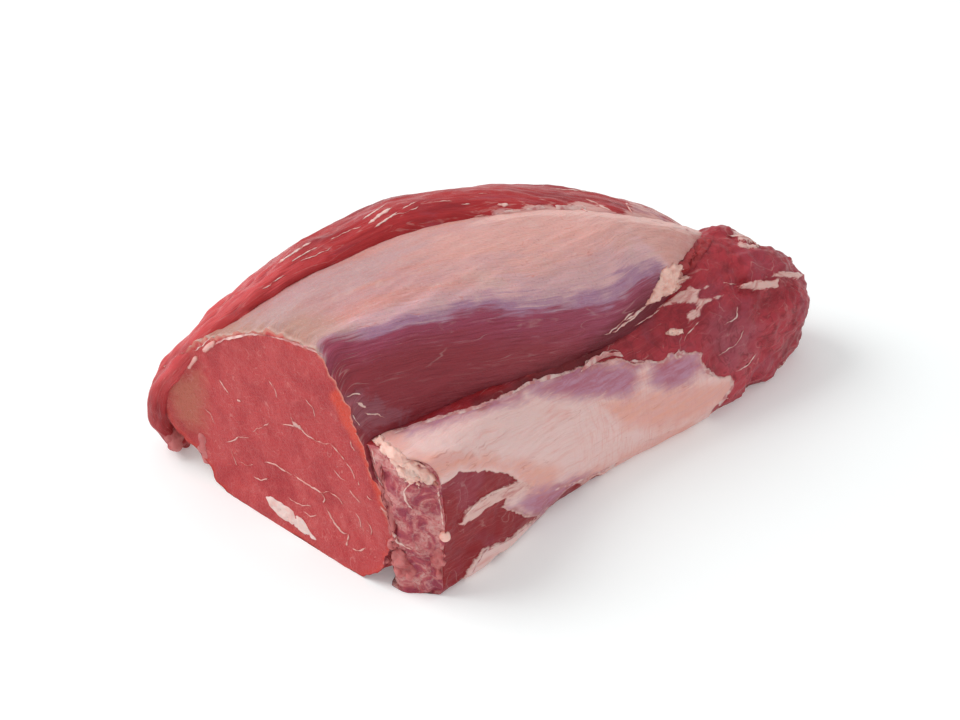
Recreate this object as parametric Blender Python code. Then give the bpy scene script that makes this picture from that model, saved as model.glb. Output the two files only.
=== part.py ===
"""Beef tenderloin butt: the thick head end of a tenderloin, trimmed and cut square across the grain.

One piece of meat in three lobes that grew together: the main muscle with its flat cut face, the side strap
that drapes over its left back, and the wing along its right side, which swells into a rounded far end.
+X runs along the grain from the cut face to the far end, +Y to the strap's side, +Z up. The piece rests on z = 0,
and the origin is under the middle of its box. Sizes below are millimetres.
"""

import math
from typing import NamedTuple

import bmesh
import bpy
from mathutils import Euler, Matrix, Vector, noise

MM = 0.001
SHIFT = Vector((3.4, 0.5, 3.0))  # brings the base to the floor and the middle of the box over the origin
CUT_FACE_X = -98.0  # the knife's plane through the main muscle
BASE_Z = -3.0  # the flat underside that the piece settles on

# How finely the skin is divided: rings along a lobe, and points round each ring.
MAIN_RINGS, MAIN_PER_QUARTER = 40, 16
WING_RINGS, WING_PER_QUARTER = 40, 10
STRAP_RINGS, STRAP_AROUND = 50, 28
FINE = 24  # points on the finely drawn quarter that each ring's points are spaced out along
DOME_STEPS = 5  # rings that round off a lobe's far end
SHORTEST_EDGE = 0.12  # shorter edges, left where two lobes cross, are closed up

# Unevenness of the flesh: how deep, and how long its swells are along and across the grain.
SWELL_DEPTH = 1.6
SWELL_ALONG, SWELL_ACROSS = 42.0, 17.0
SETTLED_HEIGHT = 9.0  # the unevenness fades out over this height towards the base

MEAT_RED = (0.36, 0.055, 0.045, 1.0)
MOIST_ROUGHNESS = 0.38


class Lobe(NamedTuple):
    """A cross-section in a plane across the grain: its four outermost points as (y, z), and how full it is.

    A fullness of 1 joins two points by a straight line, 2 by a quarter ellipse, and 4 by a near-square corner.
    Left is +Y and right is -Y, as seen from the cut face.
    """

    x: float
    right: tuple
    top: tuple
    left: tuple
    bottom: tuple
    full: tuple  # right to top, top to left, left to bottom, bottom to right


class Band(NamedTuple):
    """A cross-section of the strap: its centre, half its width and thickness, and which way its skin faces."""

    centre: tuple
    half_width: float
    half_thick: float
    lean: float  # degrees of the skin's outward direction from straight up, towards +Y
    turn: float  # degrees of that direction from +Y towards the cut face


class Scrap(NamedTuple):
    """A bead of fat or a shred of torn skin that stands proud: its centre, half its size, and how it is turned."""

    centre: tuple
    half: tuple  # along the grain, across it, and up, before it is turned
    turn: tuple = (0, 0, 0)  # degrees about X, then Y, then Z


# The sections are measured before the piece is moved by SHIFT: every lobe runs a little below BASE_Z, where
# the joined piece is cut flat to rest.
MAIN_MUSCLE = (
    Lobe(CUT_FACE_X, (-47, 18), (-16, 75), (58, 26), (10, -8), (1.25, 1.55, 1.7, 3.0)),
    Lobe(-60, (-45, 24), (-14, 77), (58, 24), (8, -9), (1.7, 1.8, 2.4, 3.0)),
    Lobe(-20, (-46, 36), (-16, 76), (56, 22), (2, -9), (2.0, 1.9, 2.8, 2.6)),
    Lobe(20, (-48, 38), (-24, 70), (44, 21), (-8, -9), (2.1, 1.9, 2.7, 2.4)),
    Lobe(50, (-45, 34), (-32, 59), (22, 20), (-18, -8), (2.0, 1.9, 2.4, 2.2)),
    Lobe(72, (-42, 26), (-34, 46), (-6, 18), (-28, -2), (2.0, 2.0, 2.2, 2.0)),
)
WING = (
    Lobe(-90, (-62, 22), (-48, 50), (-30, 28), (-48, -8), (4.0, 3.2, 3.0, 3.6)),
    Lobe(-65, (-62, 16), (-44, 48), (-30, 24), (-46, -9), (2.6, 2.4, 2.0, 3.0)),
    Lobe(-35, (-59, 14), (-43, 45), (-26, 20), (-42, -9), (1.8, 2.0, 2.0, 2.8)),
    Lobe(0, (-60, 14), (-42, 42), (-20, 18), (-40, -9), (1.8, 2.0, 2.0, 2.8)),
    Lobe(35, (-65, 15), (-43, 43), (-16, 20), (-40, -9), (2.0, 2.0, 2.0, 3.2)),
    Lobe(56, (-67, 18), (-42, 48), (-12, 24), (-38, -9), (2.2, 2.0, 2.0, 3.4)),
    Lobe(72, (-67, 19), (-38, 50), (-14, 24), (-40, -9), (2.3, 2.0, 1.8, 3.4)),
    Lobe(86, (-67, 20), (-46, 42), (-22, 22), (-40, -8), (2.5, 1.8, 2.0, 3.4)),
    Lobe(97, (-62, 18), (-48, 32), (-34, 19), (-42, -5), (2.2, 2.0, 2.0, 2.6)),
)
STRAP = (
    Band((-99, 56, 2), 5, 3.5, 88, 40),
    Band((-100, 60, 12), 8, 4.5, 84, 35),
    Band((-98, 58, 26), 11, 5, 74, 20),
    Band((-90, 51, 37), 15, 6, 62, 8),
    Band((-74, 44, 46), 22, 9, 55, 3),
    Band((-50, 43, 47), 32, 13, 51, 0),
    Band((-15, 37, 46), 38, 17, 50, 0),
    Band((20, 20, 44), 37, 17.5, 48, 0),
    Band((45, 2, 40), 31, 16, 46, 0),
    Band((66, -15, 33), 22, 13, 42, 0),
    Band((80, -28, 27), 9, 7, 36, 0),
)
SCRAPS = (
    Scrap((34, -46, 48), (10, 4.5, 4.5), (0, 8, 6)),  # fat that fills the crease by the far end
    Scrap((-2, -48, 40.5), (12, 4, 2.2), (-30, 0, 4)),  # curled shred on the wing's crest
    Scrap((38, -64, 18), (11, 2.6, 11), (0, 20, 0)),  # torn end of the wing's silverskin
    Scrap((71, -44, 48.5), (8, 6, 2.6), (0, 14, 30)),  # raised flake on top of the far end
    Scrap((-92, 46, 0), (5, 9, 4.5)),  # shred of skin between the strap's tip and the cut face
    Scrap((-91, -44, -1), (5, 8, 4.5)),  # fold at the heel of the cut face
    Scrap((-89.5, -61, 22), (2.6, 2.6, 3)),  # bead of fat on the wing's cut corner
    Scrap((-90, -37, 47), (4, 5, 3.2)),  # fat along the top of the wing's cut, from here on
    Scrap((-89.5, -45, 45.5), (4, 5, 4)),
    Scrap((-89, -54, 42.5), (4, 5, 4)),
)


def between(values, knots, where):
    """The value at `where` on a smooth curve through values at rising knots."""
    last = len(knots) - 1
    i = min(max(sum(k <= where for k in knots) - 1, 0), last - 1)

    def slope(j):
        low, high = max(j - 1, 0), min(j + 1, last)
        return (values[high] - values[low]) / (knots[high] - knots[low])

    width = knots[i + 1] - knots[i]
    t = min(max((where - knots[i]) / width, 0.0), 1.0)
    rise = t * t * (3 - 2 * t)
    start, end = t * (1 - t) ** 2, t * t * (t - 1)
    return values[i] + (values[i + 1] - values[i]) * rise + width * (slope(i) * start + slope(i + 1) * end)


def flat(record):
    """All the numbers of a cross-section in one tuple."""
    out = []
    for value in record:
        out.extend(value if isinstance(value, tuple) else (value,))
    return out


def blend(table, knots, where):
    """The numbers of the cross-section at `where`, read smoothly between those of a table."""
    return [between(column, knots, where) for column in zip(*map(flat, table))]


def even(curve, count):
    """`count` points evenly spaced along a finely drawn curve, the last point left out."""
    lengths = [0.0]
    for a, b in zip(curve, curve[1:]):
        lengths.append(lengths[-1] + (b - a).length)
    points, j = [], 0
    for i in range(count):
        want = lengths[-1] * i / count
        while lengths[j + 1] < want:
            j += 1
        step = lengths[j + 1] - lengths[j]
        share = (want - lengths[j]) / step if step > 0 else 0.0
        points.append(curve[j].lerp(curve[j + 1], share))
    return points


def lobe_ring(numbers, per_quarter):
    """Points round a Lobe cross-section, from its right over the top, with the four outermost points kept."""
    x, right_y, right_z, top_y, top_z, left_y, left_z, bottom_y, bottom_z, *full = numbers
    quarters = (
        ((top_y, right_z), (right_y - top_y, 0), (0, top_z - right_z), full[0]),
        ((top_y, left_z), (0, top_z - left_z), (left_y - top_y, 0), full[1]),
        ((bottom_y, left_z), (left_y - bottom_y, 0), (0, bottom_z - left_z), full[2]),
        ((bottom_y, right_z), (0, bottom_z - right_z), (right_y - bottom_y, 0), full[3]),
    )
    ring = []
    for (centre_y, centre_z), (from_y, from_z), (to_y, to_z), fullness in quarters:
        curve = []
        for i in range(FINE + 1):
            angle = math.pi / 2 * i / FINE
            c = max(math.cos(angle), 0.0) ** (2 / fullness)
            s = math.sin(angle) ** (2 / fullness)
            curve.append(Vector((x, centre_y + from_y * c + to_y * s, centre_z + from_z * c + to_z * s)))
        ring.extend(even(curve, per_quarter))
    return ring


def band_ring(numbers, along, around):
    """Points round a Band cross-section whose strap runs in the direction `along`."""
    x, y, z, half_width, half_thick, lean, turn = numbers
    lean, turn = math.radians(lean), math.radians(turn)
    out = Vector((-math.sin(turn) * math.sin(lean), math.cos(turn) * math.sin(lean), math.cos(lean)))
    out = (out - along * out.dot(along)).normalized()
    side = along.cross(out)
    ring = []
    for i in range(around):
        angle = 2 * math.pi * i / around
        ring.append(Vector((x, y, z)) + side * (half_width * math.cos(angle)) + out * (half_thick * math.sin(angle)))
    return ring


def lobe_rings(table, rings, per_quarter):
    """Rings of points from the first cross-section of a lobe to its last."""
    knots = [section.x for section in table]
    first, last = knots[0], knots[-1]
    return [
        lobe_ring(blend(table, knots, first + (last - first) * i / (rings - 1)), per_quarter)
        for i in range(rings)
    ]


def band_rings(table, rings, around):
    """Rings of points from the strap's hanging tip to its far end."""
    centres = [Vector(section.centre) for section in table]
    knots = [0.0]
    for a, b in zip(centres, centres[1:]):
        knots.append(knots[-1] + (b - a).length)
    made = []
    for i in range(rings):
        where = knots[-1] * i / (rings - 1)
        numbers = blend(table, knots, where)
        before, after = (
            Vector(blend(table, knots, min(max(where + d, 0.0), knots[-1]))[:3]) for d in (-1.0, 1.0)
        )
        made.append(band_ring(numbers, (after - before).normalized(), around))
    return made


def domed(rings, bulge):
    """The rings with a rounded end added after the last one, `bulge` long."""
    last, before = rings[-1], rings[-2]
    middle = sum(last, Vector()) / len(last)
    ahead = (middle - sum(before, Vector()) / len(before)).normalized()
    for i in range(1, DOME_STEPS):
        angle = math.pi / 2 * i / DOME_STEPS
        rings.append([middle + (p - middle) * math.cos(angle) + ahead * (bulge * math.sin(angle)) for p in last])
    return rings


def linked(name, bm):
    """An object in the scene that holds the bmesh, which is freed."""
    mesh = bpy.data.meshes.new(name)
    bm.to_mesh(mesh)
    bm.free()
    made = bpy.data.objects.new(name, mesh)
    bpy.context.scene.collection.objects.link(made)
    return made


def loft(name, rings):
    """A closed solid whose skin runs through rings of points, with a flat face over each end."""
    bm = bmesh.new()
    around = len(rings[0])
    row = bmesh.ops.create_circle(bm, segments=around, radius=1.0)["verts"]
    for vert, point in zip(row, rings[0]):
        vert.co = point
    edges = [bm.edges.get((row[i], row[(i + 1) % around])) for i in range(around)]
    first = list(edges)
    for ring in rings[1:]:
        made = bmesh.ops.extrude_edge_only(bm, edges=edges)["geom"]
        new = {v for v in made if isinstance(v, bmesh.types.BMVert)}
        edges = [e for e in made if isinstance(e, bmesh.types.BMEdge) and set(e.verts) <= new]
        row = [next(e.other_vert(v) for e in v.link_edges if e.other_vert(v) in new) for v in row]
        for vert, point in zip(row, ring):
            vert.co = point
    bmesh.ops.contextual_create(bm, geom=first)
    bmesh.ops.contextual_create(bm, geom=edges)
    bmesh.ops.recalc_face_normals(bm, faces=bm.faces)
    return linked(name, bm)


def scrap(item):
    """A rounded solid for one Scrap."""
    bm = bmesh.new()
    bmesh.ops.create_uvsphere(bm, u_segments=12, v_segments=8, radius=1.0)
    turned = Euler([math.radians(angle) for angle in item.turn]).to_matrix().to_4x4()
    place = Matrix.Translation(item.centre) @ turned @ Matrix.Diagonal((*item.half, 1.0))
    bmesh.ops.transform(bm, matrix=place, verts=bm.verts)
    return linked("scrap", bm)


def joined(name, lobes):
    """One object: the union of the lobes, which are removed."""
    body, *others = lobes
    group = bpy.data.collections.new("lobes to join")
    for lobe in others:
        group.objects.link(lobe)
    union = body.modifiers.new("join the lobes", "BOOLEAN")
    union.operation = "UNION"
    union.solver = "EXACT"
    union.operand_type = "COLLECTION"
    union.collection = group
    seen = body.evaluated_get(bpy.context.evaluated_depsgraph_get())
    whole = bpy.data.objects.new(name, bpy.data.meshes.new_from_object(seen))
    bpy.context.scene.collection.objects.link(whole)
    for lobe in lobes:
        bpy.data.objects.remove(lobe)
    bpy.data.collections.remove(group)
    return whole


def swell(point):
    """How far the flesh at a point lies off its smooth section, across the grain."""
    at = Vector((point.x / SWELL_ALONG, point.y / SWELL_ACROSS, point.z / SWELL_ACROSS))
    settled = min(max((point.z - BASE_Z) / SETTLED_HEIGHT, 0.0), 1.0)
    return Vector((0.0, noise.noise(at), noise.noise(at + Vector((7.0, 3.0, 5.0))) * settled)) * SWELL_DEPTH


def rest_flat(bm):
    """Cuts away what lies below the base and closes it with a flat face."""
    everything = bm.verts[:] + bm.edges[:] + bm.faces[:]
    base, up = Vector((0, 0, BASE_Z)), Vector((0, 0, 1))
    cut = bmesh.ops.bisect_plane(bm, geom=everything, plane_co=base, plane_no=up, clear_inner=True)
    rim = [e for e in cut["geom_cut"] if isinstance(e, bmesh.types.BMEdge)]
    bmesh.ops.holes_fill(bm, edges=rim, sides=0)


def meat_material():
    """Moist raw beef."""
    made = bpy.data.materials.new("raw beef")
    made.use_nodes = True
    shader = made.node_tree.nodes["Principled BSDF"]
    shader.inputs["Base Color"].default_value = MEAT_RED
    shader.inputs["Roughness"].default_value = MOIST_ROUGHNESS
    shader.inputs["Metallic"].default_value = 0.0
    return made


def finish(whole):
    """Gives the joined piece its base, its uneven flesh, its place, its size in metres and its material."""
    bm = bmesh.new()
    bm.from_mesh(whole.data)
    bmesh.ops.triangulate(bm, faces=bm.faces)
    bmesh.ops.remove_doubles(bm, verts=bm.verts, dist=SHORTEST_EDGE)
    rest_flat(bm)
    for vert in bm.verts:
        vert.co += swell(vert.co)
    bmesh.ops.triangulate(bm, faces=bm.faces)
    bmesh.ops.transform(bm, matrix=Matrix.Scale(MM, 4) @ Matrix.Translation(SHIFT), verts=bm.verts)
    bm.to_mesh(whole.data)
    bm.free()
    whole.data.shade_smooth()
    whole.data.set_sharp_from_angle(angle=math.radians(50))
    whole.data.materials.clear()
    whole.data.materials.append(meat_material())


def clear_scene():
    """Removes what the scene holds."""
    for old in list(bpy.data.objects):
        bpy.data.objects.remove(old)


def main():
    """Builds the tenderloin butt."""
    clear_scene()
    lobes = (
        loft("main muscle", domed(lobe_rings(MAIN_MUSCLE, MAIN_RINGS, MAIN_PER_QUARTER), 8)),
        loft("wing", domed(lobe_rings(WING, WING_RINGS, WING_PER_QUARTER), 5)),
        loft("strap", domed(band_rings(STRAP, STRAP_RINGS, STRAP_AROUND), 4)),
        *map(scrap, SCRAPS),
    )
    finish(joined("tenderloin_butt", lobes))


main()
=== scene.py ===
"""A raw beef tenderloin butt, dressed for its picture.

The piece is three lobes that grew together: the main muscle with its flat cut face, the strap that drapes
over its left back, and the wing along its right side, which swells into a rounded far end. Each lobe is
lofted through the cross-sections that the solid has, then gets its uneven flesh. Marbling, sinews, fat and
torn shreds of skin are pieces of their own.

Sections are in millimetres with +X along the grain, +Y to the strap and +Z up, and SHIFT brings them to the
frame. Outlines of skin and fat are in the photograph's pixels, 960 across and 720 down, as seen by PhotoView.
"""

import logging
import math
from dataclasses import dataclass, field
from enum import Enum

import bmesh
import bpy
import numpy as np
from mathutils import Matrix, Vector, noise
from mathutils.bvhtree import BVHTree


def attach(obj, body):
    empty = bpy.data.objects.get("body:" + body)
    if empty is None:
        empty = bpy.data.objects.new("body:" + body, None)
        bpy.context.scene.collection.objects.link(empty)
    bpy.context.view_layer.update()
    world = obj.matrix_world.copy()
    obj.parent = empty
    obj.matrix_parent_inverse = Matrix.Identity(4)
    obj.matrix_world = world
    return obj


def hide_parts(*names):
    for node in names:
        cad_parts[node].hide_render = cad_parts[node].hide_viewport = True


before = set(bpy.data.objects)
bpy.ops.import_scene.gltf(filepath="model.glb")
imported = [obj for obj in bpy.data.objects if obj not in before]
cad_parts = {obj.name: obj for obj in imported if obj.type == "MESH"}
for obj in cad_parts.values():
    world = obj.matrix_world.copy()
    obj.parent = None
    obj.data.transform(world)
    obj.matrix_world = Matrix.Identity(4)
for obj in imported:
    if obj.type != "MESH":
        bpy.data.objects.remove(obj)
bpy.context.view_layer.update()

log = logging.getLogger("tenderloin")

Array = np.ndarray
Point2 = tuple[float, float]
Point3 = tuple[float, float, float]
Colour = tuple[float, float, float]

MM = 0.001
SHIFT = np.array((3.4, 0.5, 3.0))
FLOOR_Z = -3.0
CUT_FACE_X = -98.0
NODE = "tenderloin_butt"
WHITE = (1.0, 1.0, 1.0, 1.0)
PIXELS = (960, 720)
HIDDEN_SIDE_COARSER = 0.5
SWELL_DEPTH = 1.6
SWELL_CELL = (42.0, 17.0, 17.0)
SETTLED_HEIGHT = 9.0
SETTLED_SINK = 0.06
SMOOTHED_RINGS = 8
SWELLS_APART = (7.0, 3.0, 5.0)
QUARTER_STEPS = 64
CAP_HOLE = 0.004
CAP_CROWDING = 0.85
DOME_CLOSED = 0.995
TINY = 1e-9
FAR = 1e9

# A Mix node holds a row of sockets for each kind of value, and those for colours go by these numbers.
COLOUR_MIX_SOCKETS = (0, 6, 7, 2)


def smooth(values: Array, low: float, high: float) -> Array:
    """Rises smoothly from 0 at low to 1 at high."""
    t = np.clip((values - low) / (high - low), 0.0, 1.0)
    return t * t * (3.0 - 2.0 * t)


def clouds(points: Array, cell: float | Point3, layers: int = 1, shift: float = 0.0) -> Array:
    """Smooth noise over points in space, about -1 to 1, the same each run.

    Args:
        points: the places, with x, y, z along the last axis.
        cell: how wide a swelling is, in the points' units, or its width along each axis.
        layers: how many layers it has, each half as strong and half as wide as the one before.
        shift: moves the pattern, so that two uses of it differ.

    Returns:
        One number for each place.
    """
    places = (points / np.array(cell) + shift).reshape(-1, 3).tolist()
    values = [noise.fractal(place, 1.0, 2.0, layers) for place in places]
    return np.array(values).reshape(points.shape[:-1])


def unit(vectors: Array) -> Array:
    """Vectors brought to a length of 1."""
    return vectors / np.maximum(np.linalg.norm(vectors, axis=-1, keepdims=True), TINY)


def lengths(points: Array) -> Array:
    """How far along a row of points each one lies."""
    steps = np.linalg.norm(np.diff(points, axis=0), axis=-1)
    return np.concatenate(([0.0], np.cumsum(steps)))


def spaced(points: Array, count: int, last: bool = True) -> Array:
    """Evenly spaced places along a row of points.

    Args:
        points: the row.
        count: how many places.
        last: whether the row's last point is one of them.

    Returns:
        The places.
    """
    length = lengths(points)
    wanted = np.linspace(0.0, length[-1], count, endpoint=last)
    return np.stack([np.interp(wanted, length, column) for column in points.T], -1)


@dataclass(frozen=True)
class Ripple:
    """Unevenness of the flesh: clouds of a cell's width, raised to a height, both in millimetres."""

    cell: float | Point3
    height: float
    layers: int = 2
    shift: float = 0.0

    def over(self, points: Array) -> Array:
        """How high it stands at each place, above or below 0."""
        return clouds(points, self.cell, self.layers, self.shift) * self.height


@dataclass(frozen=True)
class PhotoView:
    """The camera that took the photograph, in the sections' own millimetres."""

    azimuth: float = -47.0
    elevation: float = 35.0
    target: Point3 = (10.0, 16.0, 0.0)
    distance: float = 857.0
    lens: float = 90.0
    sensor: float = 36.0

    @property
    def back(self) -> Array:
        """The direction from the target to the camera."""
        turn, rise = math.radians(self.azimuth), math.radians(self.elevation)
        return np.array((math.sin(turn) * math.cos(rise), -math.cos(turn) * math.cos(rise), math.sin(rise)))

    @property
    def right(self) -> Array:
        """The direction of the picture's right."""
        turn = math.radians(self.azimuth)
        return np.array((math.cos(turn), math.sin(turn), 0.0))

    @property
    def up(self) -> Array:
        """The direction of the picture's top."""
        return np.cross(self.back, self.right)

    @property
    def eye(self) -> Array:
        """Where the camera stands."""
        return np.array(self.target) + self.back * self.distance

    @property
    def focal(self) -> float:
        """The focal length in pixels."""
        return self.lens / self.sensor * PIXELS[0]

    @property
    def pixel(self) -> float:
        """How many millimetres a pixel spans at the target's distance."""
        return self.distance / self.focal

    def pixels(self, points: Array) -> Array:
        """Where points appear in the photograph.

        Args:
            points: the places in millimetres.

        Returns:
            Their pixels.
        """
        away = points - self.eye
        depth = -(away @ self.back)
        across = PIXELS[0] / 2 + self.focal * (away @ self.right) / depth
        down = PIXELS[1] / 2 - self.focal * (away @ self.up) / depth
        return np.stack((across, down), -1)

    def facing(self, normals: Array) -> Array:
        """How squarely a surface faces the camera, from 1 to -1."""
        return normals @ self.back

    def ray(self, pixel: Point2) -> Vector:
        """The direction in which a pixel looks.

        Args:
            pixel: the pixel.

        Returns:
            The direction, 1 long.
        """
        across = (pixel[0] - PIXELS[0] / 2) / self.focal
        down = (pixel[1] - PIXELS[1] / 2) / self.focal
        return Vector(self.right * across - self.up * down - self.back).normalized()

    def make(self) -> bpy.types.Object:
        """Puts the camera into the scene.

        Returns:
            The camera.
        """
        data = bpy.data.cameras.new("photo view")
        data.lens = self.lens
        data.sensor_width = self.sensor
        camera = bpy.data.objects.new("photo view", data)
        bpy.context.scene.collection.objects.link(camera)
        camera.location = Vector((self.eye + SHIFT) * MM)
        camera.rotation_mode = "QUATERNION"
        camera.rotation_quaternion = Vector(-self.back).to_track_quat("-Z", "Y")
        bpy.context.scene.camera = camera
        return camera


VIEW = PhotoView()


def gap_to_stretch(pixels: Array, start: Point2, end: Point2) -> Array:
    """The distance of each pixel from a straight stretch.

    Args:
        pixels: the places' pixels, along the last axis.
        start: where the stretch starts.
        end: where it ends.

    Returns:
        The distances in pixels.
    """
    start, end = np.array(start, float), np.array(end, float)
    step = end - start
    t = np.clip(((pixels - start) @ step) / max(step @ step, TINY), 0.0, 1.0)
    return np.linalg.norm(pixels - start - t[..., None] * step, axis=-1)


@dataclass(frozen=True)
class Patch:
    """A patch on the surface, by its outline in the photograph's pixels."""

    outline: tuple[Point2, ...]

    def depth(self, pixels: Array) -> Array:
        """How far inside the outline each place lies, in millimetres, below 0 outside.

        Args:
            pixels: the places' pixels, along the last axis.

        Returns:
            The signed distance to the outline.
        """
        corners = np.array(self.outline, float)
        ends = np.roll(corners, -1, axis=0)
        nearest = np.full(pixels.shape[:-1], FAR)
        inside = np.zeros(pixels.shape[:-1], bool)
        for (ax, ay), (bx, by) in zip(corners, ends):
            nearest = np.minimum(nearest, gap_to_stretch(pixels, (ax, ay), (bx, by)))
            if ay != by:
                crosses = (pixels[..., 1] > min(ay, by)) & (pixels[..., 1] <= max(ay, by))
                at = ax + (pixels[..., 1] - ay) / (by - ay) * (bx - ax)
                inside ^= crosses & (pixels[..., 0] < at)
        return np.where(inside, nearest, -nearest) * VIEW.pixel


def deepest(patches: tuple[Patch, ...], pixels: Array) -> Array:
    """How far inside the patches each place lies, in millimetres, below 0 outside them all."""
    return np.max([patch.depth(pixels) for patch in patches], axis=0)


@dataclass(frozen=True)
class Line:
    """A line drawn on the surface, by its points in the photograph's pixels."""

    points: tuple[Point2, ...]

    def gap(self, pixels: Array) -> Array:
        """How far each place lies from the line.

        Args:
            pixels: the places' pixels, along the last axis.

        Returns:
            The distances in millimetres.
        """
        nearest = np.full(pixels.shape[:-1], FAR)
        for start, end in zip(self.points, self.points[1:]):
            nearest = np.minimum(nearest, gap_to_stretch(pixels, start, end))
        return nearest * VIEW.pixel


@dataclass(frozen=True)
class Lobe:
    """A cross-section in a plane across the grain: its four outermost points as (y, z), and how full it is.

    A fullness of 1 joins two points by a straight line, 2 by a quarter ellipse, 4 by a near-square corner.
    """

    x: float
    right: Point2
    top: Point2
    left: Point2
    bottom: Point2
    full: tuple[float, float, float, float]

    @property
    def numbers(self) -> tuple[float, ...]:
        """All its numbers in a row."""
        return (self.x, *self.right, *self.top, *self.left, *self.bottom, *self.full)


@dataclass(frozen=True)
class Band:
    """A cross-section of the strap: its centre, half its width and thickness, and where its skin faces."""

    centre: Point3
    half_width: float
    half_thick: float
    lean: float
    turn: float

    @property
    def numbers(self) -> tuple[float, ...]:
        """All its numbers in a row."""
        return (*self.centre, self.half_width, self.half_thick, self.lean, self.turn)


def along_table(table: tuple[Lobe, ...] | tuple[Band, ...], knots: Array, where: Array) -> Array:
    """The numbers of the cross-sections at chosen places, read smoothly between those of a table.

    Args:
        table: the cross-sections.
        knots: where each lies.
        where: the places wanted.

    Returns:
        One row of numbers for each place.
    """
    values = np.array([section.numbers for section in table])
    last = len(knots) - 1
    low = np.maximum(np.arange(last + 1) - 1, 0)
    high = np.minimum(np.arange(last + 1) + 1, last)
    slopes = (values[high] - values[low]) / (knots[high] - knots[low])[:, None]
    i = np.clip(np.searchsorted(knots, where, side="right") - 1, 0, last - 1)
    width = (knots[i + 1] - knots[i])[:, None]
    t = np.clip((where[:, None] - knots[i][:, None]) / width, 0.0, 1.0)
    rise = t * t * (3.0 - 2.0 * t)
    start, end = t * (1.0 - t) ** 2, t * t * (t - 1.0)
    return values[i] + (values[i + 1] - values[i]) * rise + width * (slopes[i] * start + slopes[i + 1] * end)


def quarter(centre: Point2, start: Point2, end: Point2, fullness: float, count: int) -> Array:
    """Evenly spaced (y, z) points on a quarter of a cross-section, its last point left out.

    Args:
        centre: the corner from which the quarter is measured.
        start: from there to the quarter's first point.
        end: from there to its last point.
        fullness: how full it is, as Lobe says.
        count: how many points it has.

    Returns:
        The points.
    """
    angle = np.linspace(0.0, math.pi / 2, QUARTER_STEPS)
    c = np.maximum(np.cos(angle), 0.0) ** (2.0 / fullness)
    s = np.maximum(np.sin(angle), 0.0) ** (2.0 / fullness)
    return spaced(np.array(centre) + np.outer(c, start) + np.outer(s, end), count, last=False)


def lobe_ring(numbers: Array, counts: tuple[int, int, int, int]) -> Array:
    """Points round a Lobe's cross-section, from its bottom up its right side and over the top.

    Args:
        numbers: the section's numbers.
        counts: how many points its quarters have, from bottom to right, right to top, and so on.

    Returns:
        The ring's points.
    """
    x, right_y, right_z, top_y, top_z, left_y, left_z, bottom_y, bottom_z, *full = numbers
    quarters = (
        quarter((bottom_y, right_z), (0, bottom_z - right_z), (right_y - bottom_y, 0), full[3], counts[0]),
        quarter((top_y, right_z), (right_y - top_y, 0), (0, top_z - right_z), full[0], counts[1]),
        quarter((top_y, left_z), (0, top_z - left_z), (left_y - top_y, 0), full[1], counts[2]),
        quarter((bottom_y, left_z), (left_y - bottom_y, 0), (0, bottom_z - left_z), full[2], counts[3]),
    )
    flat = np.concatenate(quarters)
    return np.concatenate((np.full((len(flat), 1), x), flat), axis=1)


def lobe_rings(table: tuple[Lobe, ...], rings: int, counts: tuple[int, int, int, int]) -> Array:
    """Rings of points from the first cross-section of a lobe to its last.

    Args:
        table: the cross-sections.
        rings: how many rings.
        counts: how many points the quarters of a ring have.

    Returns:
        The points, ring by ring.
    """
    knots = np.array([section.x for section in table])
    rows = along_table(table, knots, np.linspace(knots[0], knots[-1], rings))
    return np.stack([lobe_ring(row, counts) for row in rows])


def band_rings(table: tuple[Band, ...], rings: int, around: int) -> Array:
    """Rings of points from the strap's hanging tip to its far end, each from its inner side outwards.

    Args:
        table: the cross-sections.
        rings: how many rings.
        around: how many points a ring has.

    Returns:
        The points, ring by ring.
    """
    knots = lengths(np.array([section.centre for section in table]))
    rows = along_table(table, knots, np.linspace(0.0, knots[-1], rings))
    along = unit(np.gradient(rows[:, :3], axis=0))
    lean, swing = np.radians(rows[:, 5]), np.radians(rows[:, 6])
    out = np.stack((-np.sin(swing) * np.sin(lean), np.cos(swing) * np.sin(lean), np.cos(lean)), -1)
    out = unit(out - along * (out * along).sum(-1, keepdims=True))
    side = np.cross(along, out)
    turn = np.linspace(0.0, 2 * math.pi, around, endpoint=False)
    angle = turn + HIDDEN_SIDE_COARSER * np.sin(turn) - math.pi / 2
    wide = side[:, None] * (rows[:, 3, None] * np.cos(angle))[..., None]
    thick = out[:, None] * (rows[:, 4, None] * np.sin(angle))[..., None]
    return rows[:, None, :3] + wide + thick


def front_cap(ring: Array, rings: int) -> Array:
    """Rings that shrink from a ring's own outline to its middle, listed from the middle outwards.

    Args:
        ring: the outline's points.
        rings: how many rings.

    Returns:
        The points, ring by ring.
    """
    middle = ring.mean(axis=0)
    share = np.linspace(CAP_HOLE, 1.0, rings + 1)[:-1] ** CAP_CROWDING
    return middle + (ring - middle) * share[:, None, None]


def far_dome(rings: Array, steps: int, bulge: float) -> Array:
    """Rings that round off a lobe's far end.

    Args:
        rings: the lobe's rings.
        steps: how many rings the end has.
        bulge: how far it bulges, in millimetres.

    Returns:
        The points, ring by ring.
    """
    last, before = rings[-1], rings[-2]
    middle = last.mean(axis=0)
    ahead = unit(middle - before.mean(axis=0))
    angle = np.linspace(0.0, math.pi / 2, steps + 1)[1:] * DOME_CLOSED
    shrunk = (last - middle) * np.cos(angle)[:, None, None]
    return middle + shrunk + ahead * (bulge * np.sin(angle))[:, None, None]


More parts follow.
